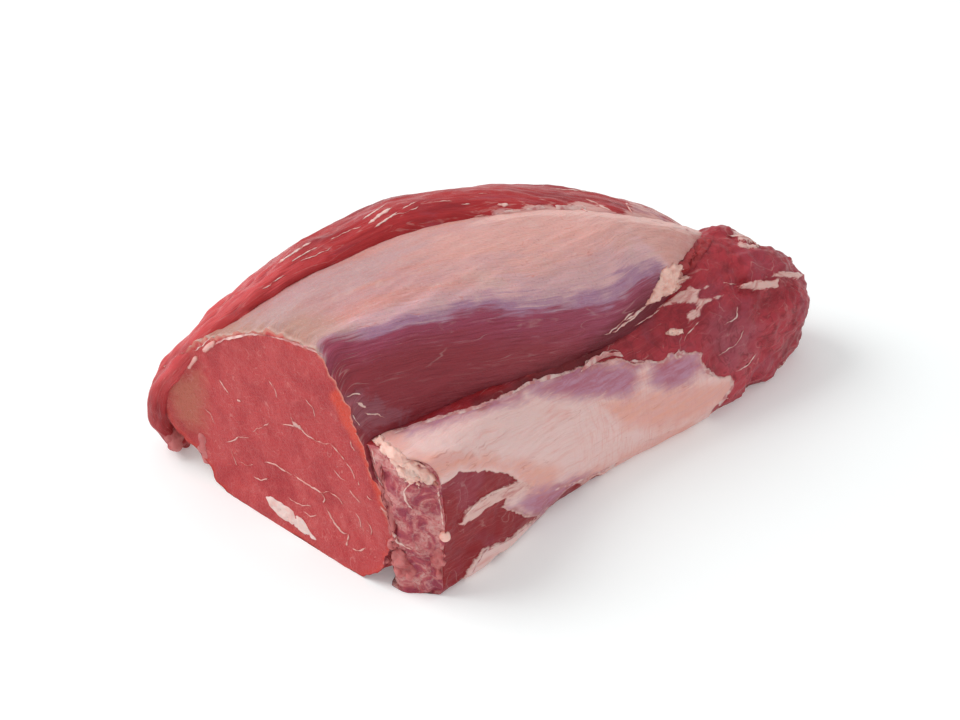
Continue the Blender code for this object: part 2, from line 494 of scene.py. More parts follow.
@dataclass
class Surface:
    """A closed skin as a grid of rings, with what its shaders read at every point.

    Attributes:
        points: the rings' points in millimetres.
        cap_rows: how many rings, from the first, lie on the cut face.
        channels: numbers for the shaders, by name.
        ridge: how far round each ring the line lies that the fibres run beside, or nothing where the fibres
            run from point to point of the rings.
    """

    points: Array
    cap_rows: int = 0
    channels: dict[str, Array] = field(default_factory=dict)
    ridge: Array | None = None

    @property
    def girth(self) -> Array:
        """Millimetres round each ring from its first point, for every point and the first one again."""
        steps = np.linalg.norm(np.diff(self.points, axis=1, append=self.points[:, :1]), axis=-1)
        return np.concatenate((np.zeros((len(steps), 1)), np.cumsum(steps, axis=1)), axis=1)

    def grain(self) -> tuple[Array, Array]:
        """How far every point lies along the fibres and across them.

        Returns:
            Millimetres along for every ring, and across for every point and the first one again.
        """
        steps = np.linalg.norm(np.diff(self.points[self.cap_rows :], axis=0), axis=-1).mean(axis=1)
        along = np.concatenate((np.zeros(self.cap_rows + 1), np.cumsum(steps)))
        if self.ridge is not None:
            return along, self.girth - self.ridge[:, None]
        mean = self.girth[self.cap_rows :].mean(axis=0)
        return along, np.broadcast_to(mean, self.girth.shape)

    @property
    def normals(self) -> Array:
        """The direction in which the skin faces at every point."""
        around = np.roll(self.points, -1, axis=1) - np.roll(self.points, 1, axis=1)
        return unit(np.cross(np.gradient(self.points, axis=0), around))

    @property
    def on_cap(self) -> Array:
        """1 on the cut face and 0 elsewhere, for every point."""
        rows = np.arange(self.points.shape[0])[:, None] < self.cap_rows
        return np.broadcast_to(rows, self.points.shape[:2]).astype(float)

    def lift(self, height: Array) -> None:
        """Raises the skin along its own facing by heights in millimetres."""
        self.points = self.points + self.normals * height[..., None]

    def settle(self, floor: float, softness: float = 1.2) -> None:
        """Presses the underside flat onto a floor, with a soft rim round it.

        Args:
            floor: the floor's height in millimetres.
            softness: the rim's radius in millimetres.
        """
        above = self.points[..., 2] - floor
        height = floor + 0.5 * (above + np.sqrt(above**2 + softness**2)) - softness * SETTLED_SINK
        self.points[..., 2] = np.maximum(height, floor)

    def mesh(self, name: str) -> bpy.types.Mesh:
        """Builds the closed mesh, with material 1 on its cut face and 0 elsewhere.

        Args:
            name: the mesh's name.

        Returns:
            The mesh, in the frame's metres.
        """
        rows, around = self.points.shape[:2]
        bm = bmesh.new()
        bmesh.ops.create_grid(bm, x_segments=rows - 1, y_segments=around, size=1.0)
        ring = bm.verts.layers.int.new("ring")
        place = bm.verts.layers.int.new("place")
        seam: list[bmesh.types.BMVert] = []
        for vert in bm.verts:
            row = round((vert.co.x + 1.0) / 2.0 * (rows - 1))
            column = round((vert.co.y + 1.0) / 2.0 * around)
            vert[ring] = row
            vert[place] = column % around
            vert.co = Vector(self.points[row, column % around])
            if column in (0, around):
                seam.append(vert)
        bmesh.ops.remove_doubles(bm, verts=seam, dist=1e-6)
        for row in (0, rows - 1):
            end = [vert for vert in bm.verts if vert[ring] == row]
            middle = Vector(self.points[row].mean(axis=0))
            bmesh.ops.pointmerge(bm, verts=end, merge_co=middle)
        placed = Matrix.Scale(MM, 4) @ Matrix.Translation(Vector(SHIFT))
        bmesh.ops.transform(bm, matrix=placed, verts=bm.verts)
        mesh = bpy.data.meshes.new(name)
        bm.to_mesh(mesh)
        bm.free()
        self._paint(mesh)
        return mesh

    def piece(self, name: str, materials: list[bpy.types.Material]) -> bpy.types.Object:
        """Makes a piece of its own from the skin."""
        return joined(name, [self.mesh(name)], materials)

    def _paint(self, mesh: bpy.types.Mesh) -> None:
        """Writes the channels, the grain as a UV map and the faces' materials.

        Args:
            mesh: the skin's mesh, with each vertex's ring and place.
        """
        rings = np.zeros(len(mesh.vertices), np.int32)
        places = np.zeros(len(mesh.vertices), np.int32)
        mesh.attributes["ring"].data.foreach_get("value", rings)
        mesh.attributes["place"].data.foreach_get("value", places)
        for name, values in self.channels.items():
            attribute = mesh.attributes.new(name, "FLOAT", "POINT")
            attribute.data.foreach_set("value", values[rings, places].astype(np.float32))
        corners = np.zeros(len(mesh.loops), np.int32)
        mesh.loops.foreach_get("vertex_index", corners)
        starts = np.zeros(len(mesh.polygons), np.int32)
        mesh.polygons.foreach_get("loop_start", starts)
        counts = np.diff(np.append(starts, len(corners)))
        place = places[corners]
        farthest = np.repeat(np.maximum.reduceat(place, starts), counts)
        around = self.points.shape[1]
        place[farthest - place > around / 2] += around
        along, across = self.grain()
        uv = np.stack((along[rings[corners]], across[rings[corners], np.minimum(place, around)]), -1)
        mesh.uv_layers.new(name="grain").data.foreach_set("uv", uv.astype(np.float32).ravel())
        nearest_ring = np.minimum.reduceat(rings[corners], starts)
        cut = (nearest_ring < self.cap_rows).astype(np.int32)
        mesh.polygons.foreach_set("material_index", cut)
        for spent in ("ring", "place"):
            mesh.attributes.remove(mesh.attributes[spent])


class Sum(Enum):
    """The sums that a Math node does here."""

    ADD = "ADD"
    SUBTRACT = "SUBTRACT"
    MULTIPLY = "MULTIPLY"
    MULTIPLY_ADD = "MULTIPLY_ADD"
    ABSOLUTE = "ABSOLUTE"


@dataclass(frozen=True)
class Term:
    """What a shader node gives, such as a number or a colour. Numbers can be added and multiplied."""

    graph: "Graph"
    socket: bpy.types.NodeSocket

    def __add__(self, other: "Value") -> "Term":
        """This number and another."""
        return self.graph.sum(Sum.ADD, self, other)

    def __mul__(self, other: "Value") -> "Term":
        """This number times another."""
        return self.graph.sum(Sum.MULTIPLY, self, other)


Value = Term | float | Colour


class Graph:
    """A material's node tree, built by short calls."""

    def __init__(self, name: str) -> None:
        """Starts a material with its Principled shader.

        Args:
            name: the material's name.
        """
        self.material = bpy.data.materials.new(name)
        self.material.use_nodes = True
        self.tree = self.material.node_tree
        self.shader = self.tree.nodes["Principled BSDF"]

    def feed(self, socket: bpy.types.NodeSocket, value: Value) -> None:
        """Links a term into a socket, or sets a constant on it.

        Args:
            socket: the socket.
            value: what goes into it.
        """
        if isinstance(value, Term):
            self.tree.links.new(value.socket, socket)
        elif isinstance(value, tuple):
            socket.default_value = (*value, 1.0) if len(socket.default_value) == 4 else value
        else:
            socket.default_value = value

    def node(self, kind: str, **choices: str) -> bpy.types.Node:
        """Adds a node.

        Args:
            kind: the node's type, without the words with which they all begin.
            choices: its settings, by name.

        Returns:
            The node.
        """
        node = self.tree.nodes.new(f"ShaderNode{kind}")
        for name, choice in choices.items():
            setattr(node, name, choice)
        return node

    def fed(self, node: bpy.types.Node, inputs: dict[str | int, Value], output: str | int) -> Term:
        """Feeds a node.

        Args:
            node: the node.
            inputs: what goes into its sockets.
            output: the socket that is wanted of it.

        Returns:
            What the node gives.
        """
        for name, value in inputs.items():
            self.feed(node.inputs[name], value)
        return Term(self, node.outputs[output])

    def channel(self, name: str) -> Term:
        """The surface's number of that name."""
        return self.fed(self.node("Attribute", attribute_name=name), {}, "Fac")

    def grain(self, along: float, across: float, shift: float = 0.0) -> Term:
        """Places on the skin, in cells that lie along the grain.

        Args:
            along: a cell's length in millimetres.
            across: its width in millimetres.
            shift: moves the pattern.

        Returns:
            The places.
        """
        skin = self.fed(self.node("UVMap", uv_map="grain"), {}, "UV")
        return self.stretched(skin, (1.0 / along, 1.0 / across, 1.0), shift)

    def space(self, cell: float, shift: float = 0.0) -> Term:
        """Places in space, in cells that are so many millimetres wide."""
        size = 1.0 / (cell * MM)
        return self.stretched(self.fed(self.node("TexCoord"), {}, "Object"), (size, size, size), shift)

    def stretched(self, places: Term, scale: Point3, shift: float) -> Term:
        """Scales and moves places.

        Args:
            places: the places.
            scale: how much larger they get along each axis.
            shift: how far they move, in cells.

        Returns:
            The new places.
        """
        inputs = {"Scale": scale, "Location": (shift, shift * 0.7, shift * 1.3), "Vector": places}
        return self.fed(self.node("Mapping"), inputs, "Vector")

    def noise(self, places: Term, detail: float = 3.0, rough: float = 0.55, warp: float = 0.0) -> Term:
        """Cloudy noise from 0 to 1, with cells of one unit.

        Args:
            places: where it is read.
            detail: how many finer layers it has.
            rough: how strong the finer layers are.
            warp: how much it curls.

        Returns:
            The noise.
        """
        inputs = {"Scale": 1.0, "Detail": detail, "Roughness": rough, "Distortion": warp, "Vector": places}
        return self.fed(self.node("TexNoise"), inputs, "Fac")

    def cells(self, places: Term) -> Term:
        """The distance to the edges of uneven cells."""
        node = self.node("TexVoronoi", feature="DISTANCE_TO_EDGE")
        return self.fed(node, {"Scale": 1.0, "Vector": places}, "Distance")

    def threads(self, places: Term, thin: float, warp: float = 0.6) -> Term:
        """Thin curving threads, 1 along their middles: where cloudy noise crosses one height."""
        off = self.sum(Sum.ABSOLUTE, self.sum(Sum.SUBTRACT, self.noise(places, 2.0, 0.5, warp), 0.5))
        return self.rise(off, thin, 0.0)

    def swing(self, value: Value, reach: float) -> Term:
        """Noise of 0 to 1 turned into a shift of up to reach to either side."""
        return self.sum(Sum.MULTIPLY_ADD, value, reach * 2.0, -reach)

    def rise(self, value: Value, low: float, high: float, start: float = 0.0, end: float = 1.0) -> Term:
        """A number that goes smoothly from one value to another.

        Args:
            value: what it follows.
            low: where it starts to change.
            high: where it stops.
            start: what it is at low.
            end: what it is at high.

        Returns:
            The number.
        """
        inputs = {"Value": value, "From Min": low, "From Max": high, "To Min": start, "To Max": end}
        return self.fed(self.node("MapRange", interpolation_type="SMOOTHSTEP"), inputs, "Result")

    def sum(self, kind: Sum, first: Value, second: Value = 0.0, third: Value = 0.0) -> Term:
        """A sum, product or the like of numbers."""
        return self.fed(self.node("Math", operation=kind.value), {0: first, 1: second, 2: third}, 0)

    def mix(self, first: Value, second: Value, share: Value) -> Term:
        """The first colour, and the second one over it by its share.

        Args:
            first: the colour below.
            second: the colour on top.
            share: how much of the second one shows, from 0 to 1.

        Returns:
            The colour.
        """
        share_at, first_at, second_at, mixed_at = COLOUR_MIX_SOCKETS
        inputs = {share_at: share, first_at: first, second_at: second}
        return self.fed(self.node("Mix", data_type="RGBA"), inputs, mixed_at)

    def ramp(self, value: Value, stops: tuple[tuple[float, Colour], ...]) -> Term:
        """A colour read off a row of stops.

        Args:
            value: where it is read, from 0 to 1.
            stops: each stop's place and colour.

        Returns:
            The colour.
        """
        node = self.node("ValToRGB")
        node.color_ramp.interpolation = "EASE"
        elements = node.color_ramp.elements
        while len(elements) < len(stops):
            elements.new(0.5)
        for element, (place, colour) in zip(elements, stops):
            element.position = place
            element.color = (*colour, 1.0)
        return self.fed(node, {"Fac": value}, "Color")

    def bump(self, height: Term, depth: float, under: Term | None = None) -> Term:
        """A bumped normal.

        Args:
            height: heights of 0 to 1.
            depth: how many millimetres a height of 1 stands for.
            under: a normal that is bumped already.

        Returns:
            The normal.
        """
        inputs = {"Strength": 1.0, "Distance": depth * MM, "Height": height}
        if under is not None:
            inputs["Normal"] = under
        return self.fed(self.node("Bump"), inputs, "Normal")

    def finish(
        self, colour: Value, rough: Value, normal: Term | None, moist: "Moisture"
    ) -> bpy.types.Material:
        """Joins everything to the shader.

        Args:
            colour: the colour.
            rough: the roughness.
            normal: the bumped normal, or nothing for a smooth surface.
            moist: what is the same all over.

        Returns:
            The material.
        """
        inputs = {
            "Base Color": colour,
            "Roughness": rough,
            "Subsurface Weight": moist.depth_share,
            "Subsurface Radius": moist.spread,
            "Subsurface Scale": moist.reach * MM,
            "IOR": moist.bend,
            "Coat Weight": moist.film,
            "Coat Roughness": moist.film_rough,
            "Specular IOR Level": moist.shine,
        }
        if normal is not None:
            inputs["Normal"] = normal
        self.fed(self.shader, inputs, 0)
        return self.material


@dataclass(frozen=True)
class Moisture:
    """How light sinks into the meat, and how wet its surface is."""

    depth_share: float = 0.15
    spread: Point3 = (1.0, 0.22, 0.14)
    reach: float = 2.0
    bend: float = 1.36
    film: float = 0.05
    film_rough: float = 0.25
    shine: float = 0.32


@dataclass(frozen=True)
class MuscleSkin:
    """The outside of the main muscle: wet red flesh below, a violet band, and pale membrane over the top."""

    wall: Colour = (0.30, 0.040, 0.054)
    wine: Colour = (0.35, 0.065, 0.115)
    violet: Colour = (0.43, 0.22, 0.33)
    lilac: Colour = (0.74, 0.43, 0.45)
    rose: Colour = (0.64, 0.285, 0.255)
    beige: Colour = (0.54, 0.235, 0.215)
    light: Colour = (0.84, 0.48, 0.43)
    olive: Colour = (0.43, 0.245, 0.175)
    ash: Colour = (0.49, 0.33, 0.345)
    grey: Colour = (0.56, 0.34, 0.37)
    haze: Colour = (0.34, 0.13, 0.165)
    wisp: Colour = (0.70, 0.47, 0.43)
    vein: Colour = (0.60, 0.16, 0.10)
    rim: Colour = (0.66, 0.42, 0.36)
    warm: Colour = (0.66, 0.30, 0.23)
    shadow: Colour = (0.12, 0.010, 0.014)
    nose: Colour = (0.66, 0.26, 0.24)
    tip: Colour = (0.40, 0.060, 0.060)
    sheet: Colour = (0.84, 0.50, 0.45)
    groove: Colour = (0.16, 0.012, 0.024)
    glint: Colour = (0.80, 0.58, 0.55)
    speck: Colour = (0.36, 0.12, 0.12)
    moist: Moisture = Moisture()

    def material(self) -> bpy.types.Material:
        """Mixes the bands by how far a place lies above the shoulder, with fibres along the grain.

        Returns:
            The material.
        """
        g = Graph("muscle skin")
        cloud = g.noise(g.space(10.0), 4.0, 0.6)
        strand = g.noise(g.grain(16.0, 1.5, 5.0), 4.0, 0.6, 0.5)
        drift = g.swing(g.noise(g.space(24.0, 6.0), 3.0, 0.5), 5.0) + g.swing(strand, 5.0)
        across = g.channel("across") + drift
        low = ((0.00, self.wall), (0.18, self.wine), (0.27, self.violet))
        high = ((0.40, self.lilac), (0.54, self.rose), (0.90, self.beige))
        skin = g.ramp(g.rise(across, -14.0, 34.0), (*low, *high))
        veil = g.rise(across, -2.0, 5.0)
        farther = g.rise(g.channel("cut"), -30.0, -75.0) * g.rise(across, 3.0, 12.0, 0.0, 0.5)
        skin = g.mix(skin, self.light, farther)
        grey = g.rise(g.noise(g.grain(40.0, 12.0, 4.0), 4.0, 0.6), 0.46, 0.66, 0.0, 0.45)
        skin = g.mix(skin, self.grey, grey * veil)
        warm = g.rise(g.noise(g.grain(34.0, 5.0, 7.0), 4.0, 0.6), 0.52, 0.68, 0.0, 0.5)
        skin = g.mix(skin, self.warm, warm * g.rise(across, 8.0, 16.0))
        misty = g.channel("haze") + g.swing(g.noise(g.space(6.0, 2.0), 5.0, 0.65, 0.8), 8.0)
        skin = g.mix(skin, self.haze, g.rise(misty, -2.0, 3.0, 0.0, 0.6))
        shade = g.channel("crease") + g.swing(strand, 4.0)
        skin = g.mix(skin, self.shadow, g.rise(shade, 8.0, 0.5, 0.0, 0.8))
        nose = g.rise(g.channel("cut"), -138.0, -158.0) * g.rise(g.noise(g.space(2.2, 8.0), 3.0), 0.4, 0.6)
        skin = g.mix(skin, self.nose, nose * 0.6)
        tip = g.channel("cut") + g.swing(cloud, 6.0)
        skin = g.mix(skin, self.tip, g.rise(tip, -170.5, -176.0, 0.0, 0.85))
        sheet = g.channel("fascia") + g.swing(strand, 3.0)
        skin = g.mix(skin, self.sheet, g.rise(sheet, -0.5, 1.0, 0.0, 0.85))
        skin = g.mix(skin, self.wisp, g.rise(cloud, 0.50, 0.80, 0.0, 0.6) * veil)
        fibre = g.noise(g.grain(14.0, 0.6), 5.0, 0.65)
        dark = g.rise(fibre, 0.56, 0.30) * (veil * -0.38 + 0.5)
        skin = g.mix(skin, self.groove, dark)
        pale = g.rise(strand, 0.58, 0.76) * (veil * 0.30 + 0.14)
        skin = g.mix(skin, self.wisp, pale)
        hair = g.threads(g.grain(60.0, 8.0, 12.0), 0.008, 0.25) * g.rise(cloud, 0.42, 0.62)
        skin = g.mix(skin, self.wisp, hair * (veil * -0.2 + 0.24))
        capillary = g.threads(g.grain(36.0, 12.0, 3.0), 0.007, 1.0) * g.rise(cloud, 0.50, 0.38)
        skin = g.mix(skin, self.vein, capillary * veil * 0.45)
        behind = g.channel("cut") + g.swing(cloud, 12.0)
        near = g.rise(behind, -24.0, -5.0) * veil * 0.6
        skin = g.mix(skin, self.olive, near)
        dusty = g.channel("ash") + g.swing(g.noise(g.grain(20.0, 6.0, 14.0), 4.0, 0.6), 9.0)
        skin = g.mix(skin, self.ash, g.rise(dusty, -3.0, 5.0, 0.0, 0.6))
        edge = g.rise(g.channel("cut"), -2.0, -0.3) * veil * 0.8
        skin = g.mix(skin, self.rim, edge)
        fine = g.noise(g.grain(3.5, 0.35, 9.0), 3.0, 0.6)
        grit = g.noise(g.space(0.9), 3.0, 0.6)
        skin = g.mix(skin, self.glint, g.rise(grit, 0.56, 0.76, 0.0, 0.3) * veil)
        skin = g.mix(skin, self.speck, g.rise(grit, 0.44, 0.26, 0.0, 0.3) * veil)
        height = fibre * 0.7 + fine * 0.3
        normal = g.bump(grit, 0.12, g.bump(height, 0.40))
        rough = g.rise(g.noise(g.space(5.0, 3.0), 3.0), 0.3, 0.7, 0.34, 0.50)
        return g.finish(skin, rough, normal, self.moist)


@dataclass(frozen=True)
class CutFlesh:
    """The main muscle's cut face: salmon-red flesh, finely grained where the knife crossed its fibres, with
    tiny painted highlights as light flecks.
    """

    flesh: Colour = (0.49, 0.058, 0.062)
    deep: Colour = (0.40, 0.038, 0.045)
    pale: Colour = (0.58, 0.135, 0.13)
    olive: Colour = (0.48, 0.150, 0.100)
    strip: Colour = (0.66, 0.070, 0.040)
    rim: Colour = (0.62, 0.32, 0.27)
    dark: Colour = (0.38, 0.034, 0.042)
    glint_fleck: Colour = (0.72, 0.34, 0.30)
    pit: Colour = (0.26, 0.018, 0.026)
    scratch: Colour = (0.74, 0.36, 0.32)
    moist: Moisture = Moisture(film=0.03, film_rough=0.35, shine=0.25)

    def material(self) -> bpy.types.Material:
        """Mixes the grain of cut fibres with the tints of the rim and the toe, and paints tiny highlights as
        light flecks.

        Returns:
            The material.
        """
        g = Graph("cut flesh")
        cloud = g.noise(g.space(15.0), 3.0, 0.55, 0.4)
        patch = g.noise(g.space(4.5, 4.0), 5.0, 0.6, 0.3)
        flesh = g.mix(self.deep, self.flesh, g.rise(cloud, 0.32, 0.60))
        low = g.rise(g.channel("low") + g.swing(cloud, 10.0), -6.0, 14.0)
        flesh = g.mix(flesh, self.pale, low * g.rise(patch, 0.36, 0.75, 0.0, 0.5))
        flesh = g.mix(flesh, self.pale, g.rise(patch, 0.50, 0.80, 0.0, 0.5))
        flesh = g.mix(flesh, self.dark, g.rise(patch, 0.46, 0.26, 0.0, 0.5))
        toe = g.channel("toe") + g.swing(patch, 5.0)
        flesh = g.mix(flesh, self.olive, g.rise(toe, -4.0, 4.0, 0.0, 0.85))
        strip = g.channel("strip") + g.swing(patch, 1.2)
        flesh = g.mix(flesh, self.strip, g.rise(strip, 3.6, 1.0, 0.0, 0.85))
        bundle = g.cells(g.space(1.3, 2.0))
        glint_fleck = g.noise(g.space(0.6, 7.0), 3.0, 0.7)
        flesh = g.mix(flesh, self.pale, g.rise(bundle, 0.14, 0.02, 0.0, 0.18))
        # Painted highlights: the light flecks stand for glints on the wet cut flesh.
        flesh = g.mix(flesh, self.glint_fleck, g.rise(glint_fleck, 0.60, 0.80, 0.0, 0.40))
        flesh = g.mix(flesh, self.pit, g.rise(glint_fleck, 0.44, 0.26, 0.0, 0.35))
        scratch = g.threads(g.space(7.0, 9.0), 0.010, 1.5) * g.rise(cloud, 0.40, 0.56)
        flesh = g.mix(flesh, self.scratch, scratch * 0.34)
        edge = g.channel("cut") + g.swing(patch, 0.8)
        flesh = g.mix(flesh, self.rim, g.rise(edge, 1.6, 0.3) * g.channel("top_rim"))
        warm = g.rise(edge, 2.6, 0.6) * g.rise(g.channel("toe"), -2.0, -14.0, 0.35, 0.30)
        flesh = g.mix(flesh, self.strip, warm)
        height = g.rise(bundle, 0.0, 0.22) * 0.3 + glint_fleck * 0.7
        normal = g.bump(height, 0.26, g.bump(patch, 0.7))
        rough = g.rise(glint_fleck, 0.3, 0.7, 0.42, 0.58)
        return g.finish(flesh, rough, normal, self.moist)


@dataclass(frozen=True)
class StrapFlesh:
    """The strap's deep red muscle, with pale threads along it and patches of membrane, painted light on its
    upper front and painted shade in the furrows of its folds.
    """

    red: Colour = (0.42, 0.026, 0.030)
    deep: Colour = (0.27, 0.016, 0.023)
    bright: Colour = (0.50, 0.042, 0.042)
    veil: Colour = (0.74, 0.43, 0.39)
    front_painted_light: Colour = (0.64, 0.075, 0.080)
    violet: Colour = (0.42, 0.17, 0.21)
    bruise: Colour = (0.40, 0.060, 0.085)
    furrow_shade: Colour = (0.22, 0.014, 0.020)
    hair: Colour = (0.72, 0.42, 0.38)
    moist: Moisture = Moisture(film=0.12)

    def material(self) -> bpy.types.Material:
        """Mixes fibres, threads and membrane, with painted light on the upper front and painted shade in the
        fold furrows.

        Returns:
            The material.
        """
        g = Graph("strap flesh")
        cloud = g.noise(g.grain(30.0, 7.0), 4.0, 0.55)
        fibre = g.noise(g.grain(18.0, 0.8), 5.0, 0.62)
        flesh = g.mix(self.deep, self.red, g.rise(cloud, 0.30, 0.55))
        flesh = g.mix(flesh, self.bright, g.rise(fibre, 0.48, 0.72, 0.0, 0.7))
        flesh = g.mix(flesh, self.deep, g.rise(fibre, 0.46, 0.28, 0.0, 0.6))
        # Painted light: the upper front of the strap's hanging near end is painted a brighter red.
        flesh = g.mix(flesh, self.front_painted_light, g.channel("front_painted_light") * g.rise(fibre, 0.30, 0.50, 0.3, 0.8))
        # Painted shade: the furrows of the strap's folds are darkened.
        flesh = g.mix(flesh, self.furrow_shade, g.channel("furrow_shade") * 0.35)
        rag = g.noise(g.grain(8.0, 1.4, 3.0), 5.0, 0.65, 0.5)
        skin = g.channel("fascia") + g.swing(rag, 5.0)
        tone = g.mix(self.violet, self.veil, g.rise(g.noise(g.grain(14.0, 5.0, 8.0), 3.0), 0.30, 0.48))
        flesh = g.mix(flesh, tone, g.rise(skin, -0.6, 0.8, 0.0, 0.80))
        haze = g.noise(g.grain(22.0, 1.6, 11.0), 4.0, 0.6, 0.5)
        flesh = g.mix(flesh, self.veil, g.rise(haze, 0.58, 0.76) * g.rise(cloud, 0.35, 0.65, 0.0, 0.06))
        streak = g.noise(g.grain(26.0, 3.0, 13.0), 5.0, 0.65)
        flesh = g.mix(flesh, self.bruise, g.rise(streak, 0.52, 0.68, 0.0, 0.5))
        hair = g.threads(g.grain(24.0, 3.0, 5.0), 0.02, 0.8) * g.rise(rag, 0.42, 0.60)
        flesh = g.mix(flesh, self.hair, hair * 0.30)
        fine = g.noise(g.grain(3.0, 0.4, 9.0), 3.0, 0.6)
        grit = g.noise(g.space(0.9), 3.0, 0.6)
        height = fibre * 0.75 + fine * 0.25
        normal = g.bump(grit, 0.08, g.bump(height, 0.5))
        rough = g.rise(g.noise(g.space(5.0, 3.0), 3.0), 0.3, 0.7, 0.32, 0.46)
        return g.finish(flesh, rough, normal, self.moist)


@dataclass(frozen=True)
class WingSkin:
    """The wing's silverskin over its red flesh: creamy, pink and violet, striped along and across."""

    cream: Colour = (0.84, 0.57, 0.54)
    pink: Colour = (0.78, 0.37, 0.33)
    violet: Colour = (0.40, 0.090, 0.17)
    peach: Colour = (0.82, 0.36, 0.27)
    near_red: Colour = (0.28, 0.014, 0.019)
    far_red_and_painted_light: Colour = (0.46, 0.044, 0.064)
    plum: Colour = (0.33, 0.080, 0.110)
    deep: Colour = (0.25, 0.020, 0.030)
    tissue: Colour = (0.70, 0.42, 0.38)
    lace: Colour = (0.80, 0.52, 0.47)
    bright: Colour = (0.50, 0.075, 0.075)
    fold: Colour = (0.15, 0.010, 0.016)
    wine: Colour = (0.34, 0.060, 0.090)
    shadow: Colour = (0.12, 0.010, 0.014)
    line: Colour = (0.52, 0.17, 0.14)
    blue: Colour = (0.46, 0.20, 0.32)
    lace_root: Colour = (0.62, 0.26, 0.24)
    moist: Moisture = Moisture(film=0.08)

    def material(self) -> bpy.types.Material:
        """Mixes the silverskin over the flesh where the channel says that it lies, with painted light low on
        the far lump and painted shade in its creases.

        Returns:
            The material.
        """
        g = Graph("wing skin")
        fibre = g.noise(g.grain(16.0, 0.7), 5.0, 0.62)
        cloud = g.noise(g.space(10.0), 4.0, 0.6)
        rag = g.noise(g.space(1.5, 5.0), 4.0, 0.65)
        shred = g.noise(g.grain(9.0, 1.8, 6.0), 5.0, 0.65, 0.8)
        # Towards the far lump the flesh turns a brighter red, partly its own tone and partly painted light on
        # its lower side.
        red = g.mix(self.near_red, self.far_red_and_painted_light, g.channel("far"))
        flesh = g.mix(self.deep, red, g.rise(cloud, 0.32, 0.56, 0.25, 1.0))
        flesh = g.mix(flesh, self.bright, g.rise(fibre, 0.50, 0.72, 0.0, 0.5))
        plum = g.channel("plum") + g.swing(cloud, 8.0)
        flesh = g.mix(flesh, self.plum, g.rise(plum, -3.0, 5.0, 0.0, 0.55))
        # Painted shade: thin dark lines stand for shaded creases between the far lump's bundles.
        fold = g.threads(g.space(10.0, 3.0), 0.035, 1.8)
        flesh = g.mix(flesh, self.fold, fold * g.channel("far") * 0.55)
        flesh = g.mix(flesh, self.wine, g.rise(g.noise(g.space(14.0, 8.0), 3.0), 0.50, 0.66, 0.0, 0.5))
        hair = g.threads(g.space(14.0, 6.0), 0.008, 0.5) * g.rise(cloud, 0.42, 0.62)
        flesh = g.mix(flesh, self.tissue, hair * 0.35)
        shade = g.channel("crease") + g.swing(cloud, 4.0)
        flesh = g.mix(flesh, self.shadow, g.rise(shade, 4.0, 0.5, 0.0, 0.7))
        flesh = g.mix(flesh, self.tissue, g.rise(shred, 0.62, 0.76, 0.0, 0.4))
        broad = g.noise(g.grain(26.0, 6.0, 2.0), 4.0)
        tone = g.mix(self.pink, self.cream, g.rise(broad, 0.24, 0.42))
        warm = g.channel("peach") + g.swing(cloud, 5.0)
        glow = g.mix(self.peach, self.pink, g.rise(shred, 0.42, 0.58))
        tone = g.mix(tone, glow, g.rise(warm, -3.0, 3.0, 0.0, 0.75))
        tone = g.mix(tone, self.peach, g.rise(shred, 0.60, 0.78, 0.0, 0.25))
        bars = g.noise(g.grain(1.1, 9.0, 1.0), 4.0, 0.6, 1.2)
        crossed = g.rise(bars, 0.52, 0.36) * g.channel("crossed")
        tone = g.mix(tone, self.pink, crossed * 0.45)
        stripes = g.noise(g.grain(22.0, 0.8, 4.0), 4.0, 0.6)
        tone = g.mix(tone, self.pink, g.rise(stripes, 0.50, 0.30, 0.0, 0.40))
        line = g.threads(g.grain(46.0, 3.0, 15.0), 0.012, 0.5) * g.rise(cloud, 0.40, 0.60)
        tone = g.mix(tone, self.line, line * 0.45)
        bruise = g.channel("violet") + g.swing(shred, 4.0)
        blue = g.mix(self.violet, self.blue, g.rise(shred, 0.40, 0.66))
        tone = g.mix(tone, blue, g.rise(bruise, -2.5, 3.5, 0.0, 0.82))
        edge = g.channel("skin") + g.swing(cloud, 4.0)
        border = g.mix(red, self.violet, g.rise(shred, 0.40, 0.60))
        tone = g.mix(tone, border, g.rise(edge, 3.2, 0.2) * g.rise(bruise, -5.0, -1.0, 0.0, 0.6))
        skin = g.channel("skin") + g.swing(rag, 0.35)
        colour = g.mix(flesh, tone, g.rise(skin, -0.2, 0.2))
        lace = g.rise(skin, -0.35, 0.0) * g.rise(skin, 1.0, 0.15)
        colour = g.mix(colour, self.lace, lace * g.rise(rag, 0.35, 0.60, 0.15, 0.85))
        white = g.channel("white") + g.swing(rag, 0.8) + g.swing(shred, 1.0)
        webbing = g.mix(self.lace_root, self.lace, g.rise(shred, 0.34, 0.54))
        colour = g.mix(colour, webbing, g.rise(white, -0.25, 0.35, 0.0, 0.9))
        grit = g.noise(g.space(0.9), 3.0, 0.6)
        crease = bars * 0.35 * g.channel("crossed")
        ribs = fibre * 0.6 + crease
        step = g.bump(g.rise(skin, -0.3, 0.3), 0.25)
        normal = g.bump(grit, 0.08, g.bump(ribs, 0.38, step))
        rough = g.rise(g.noise(g.space(5.0, 3.0), 3.0), 0.3, 0.7, 0.34, 0.50)
        return g.finish(colour, rough, normal, self.moist)


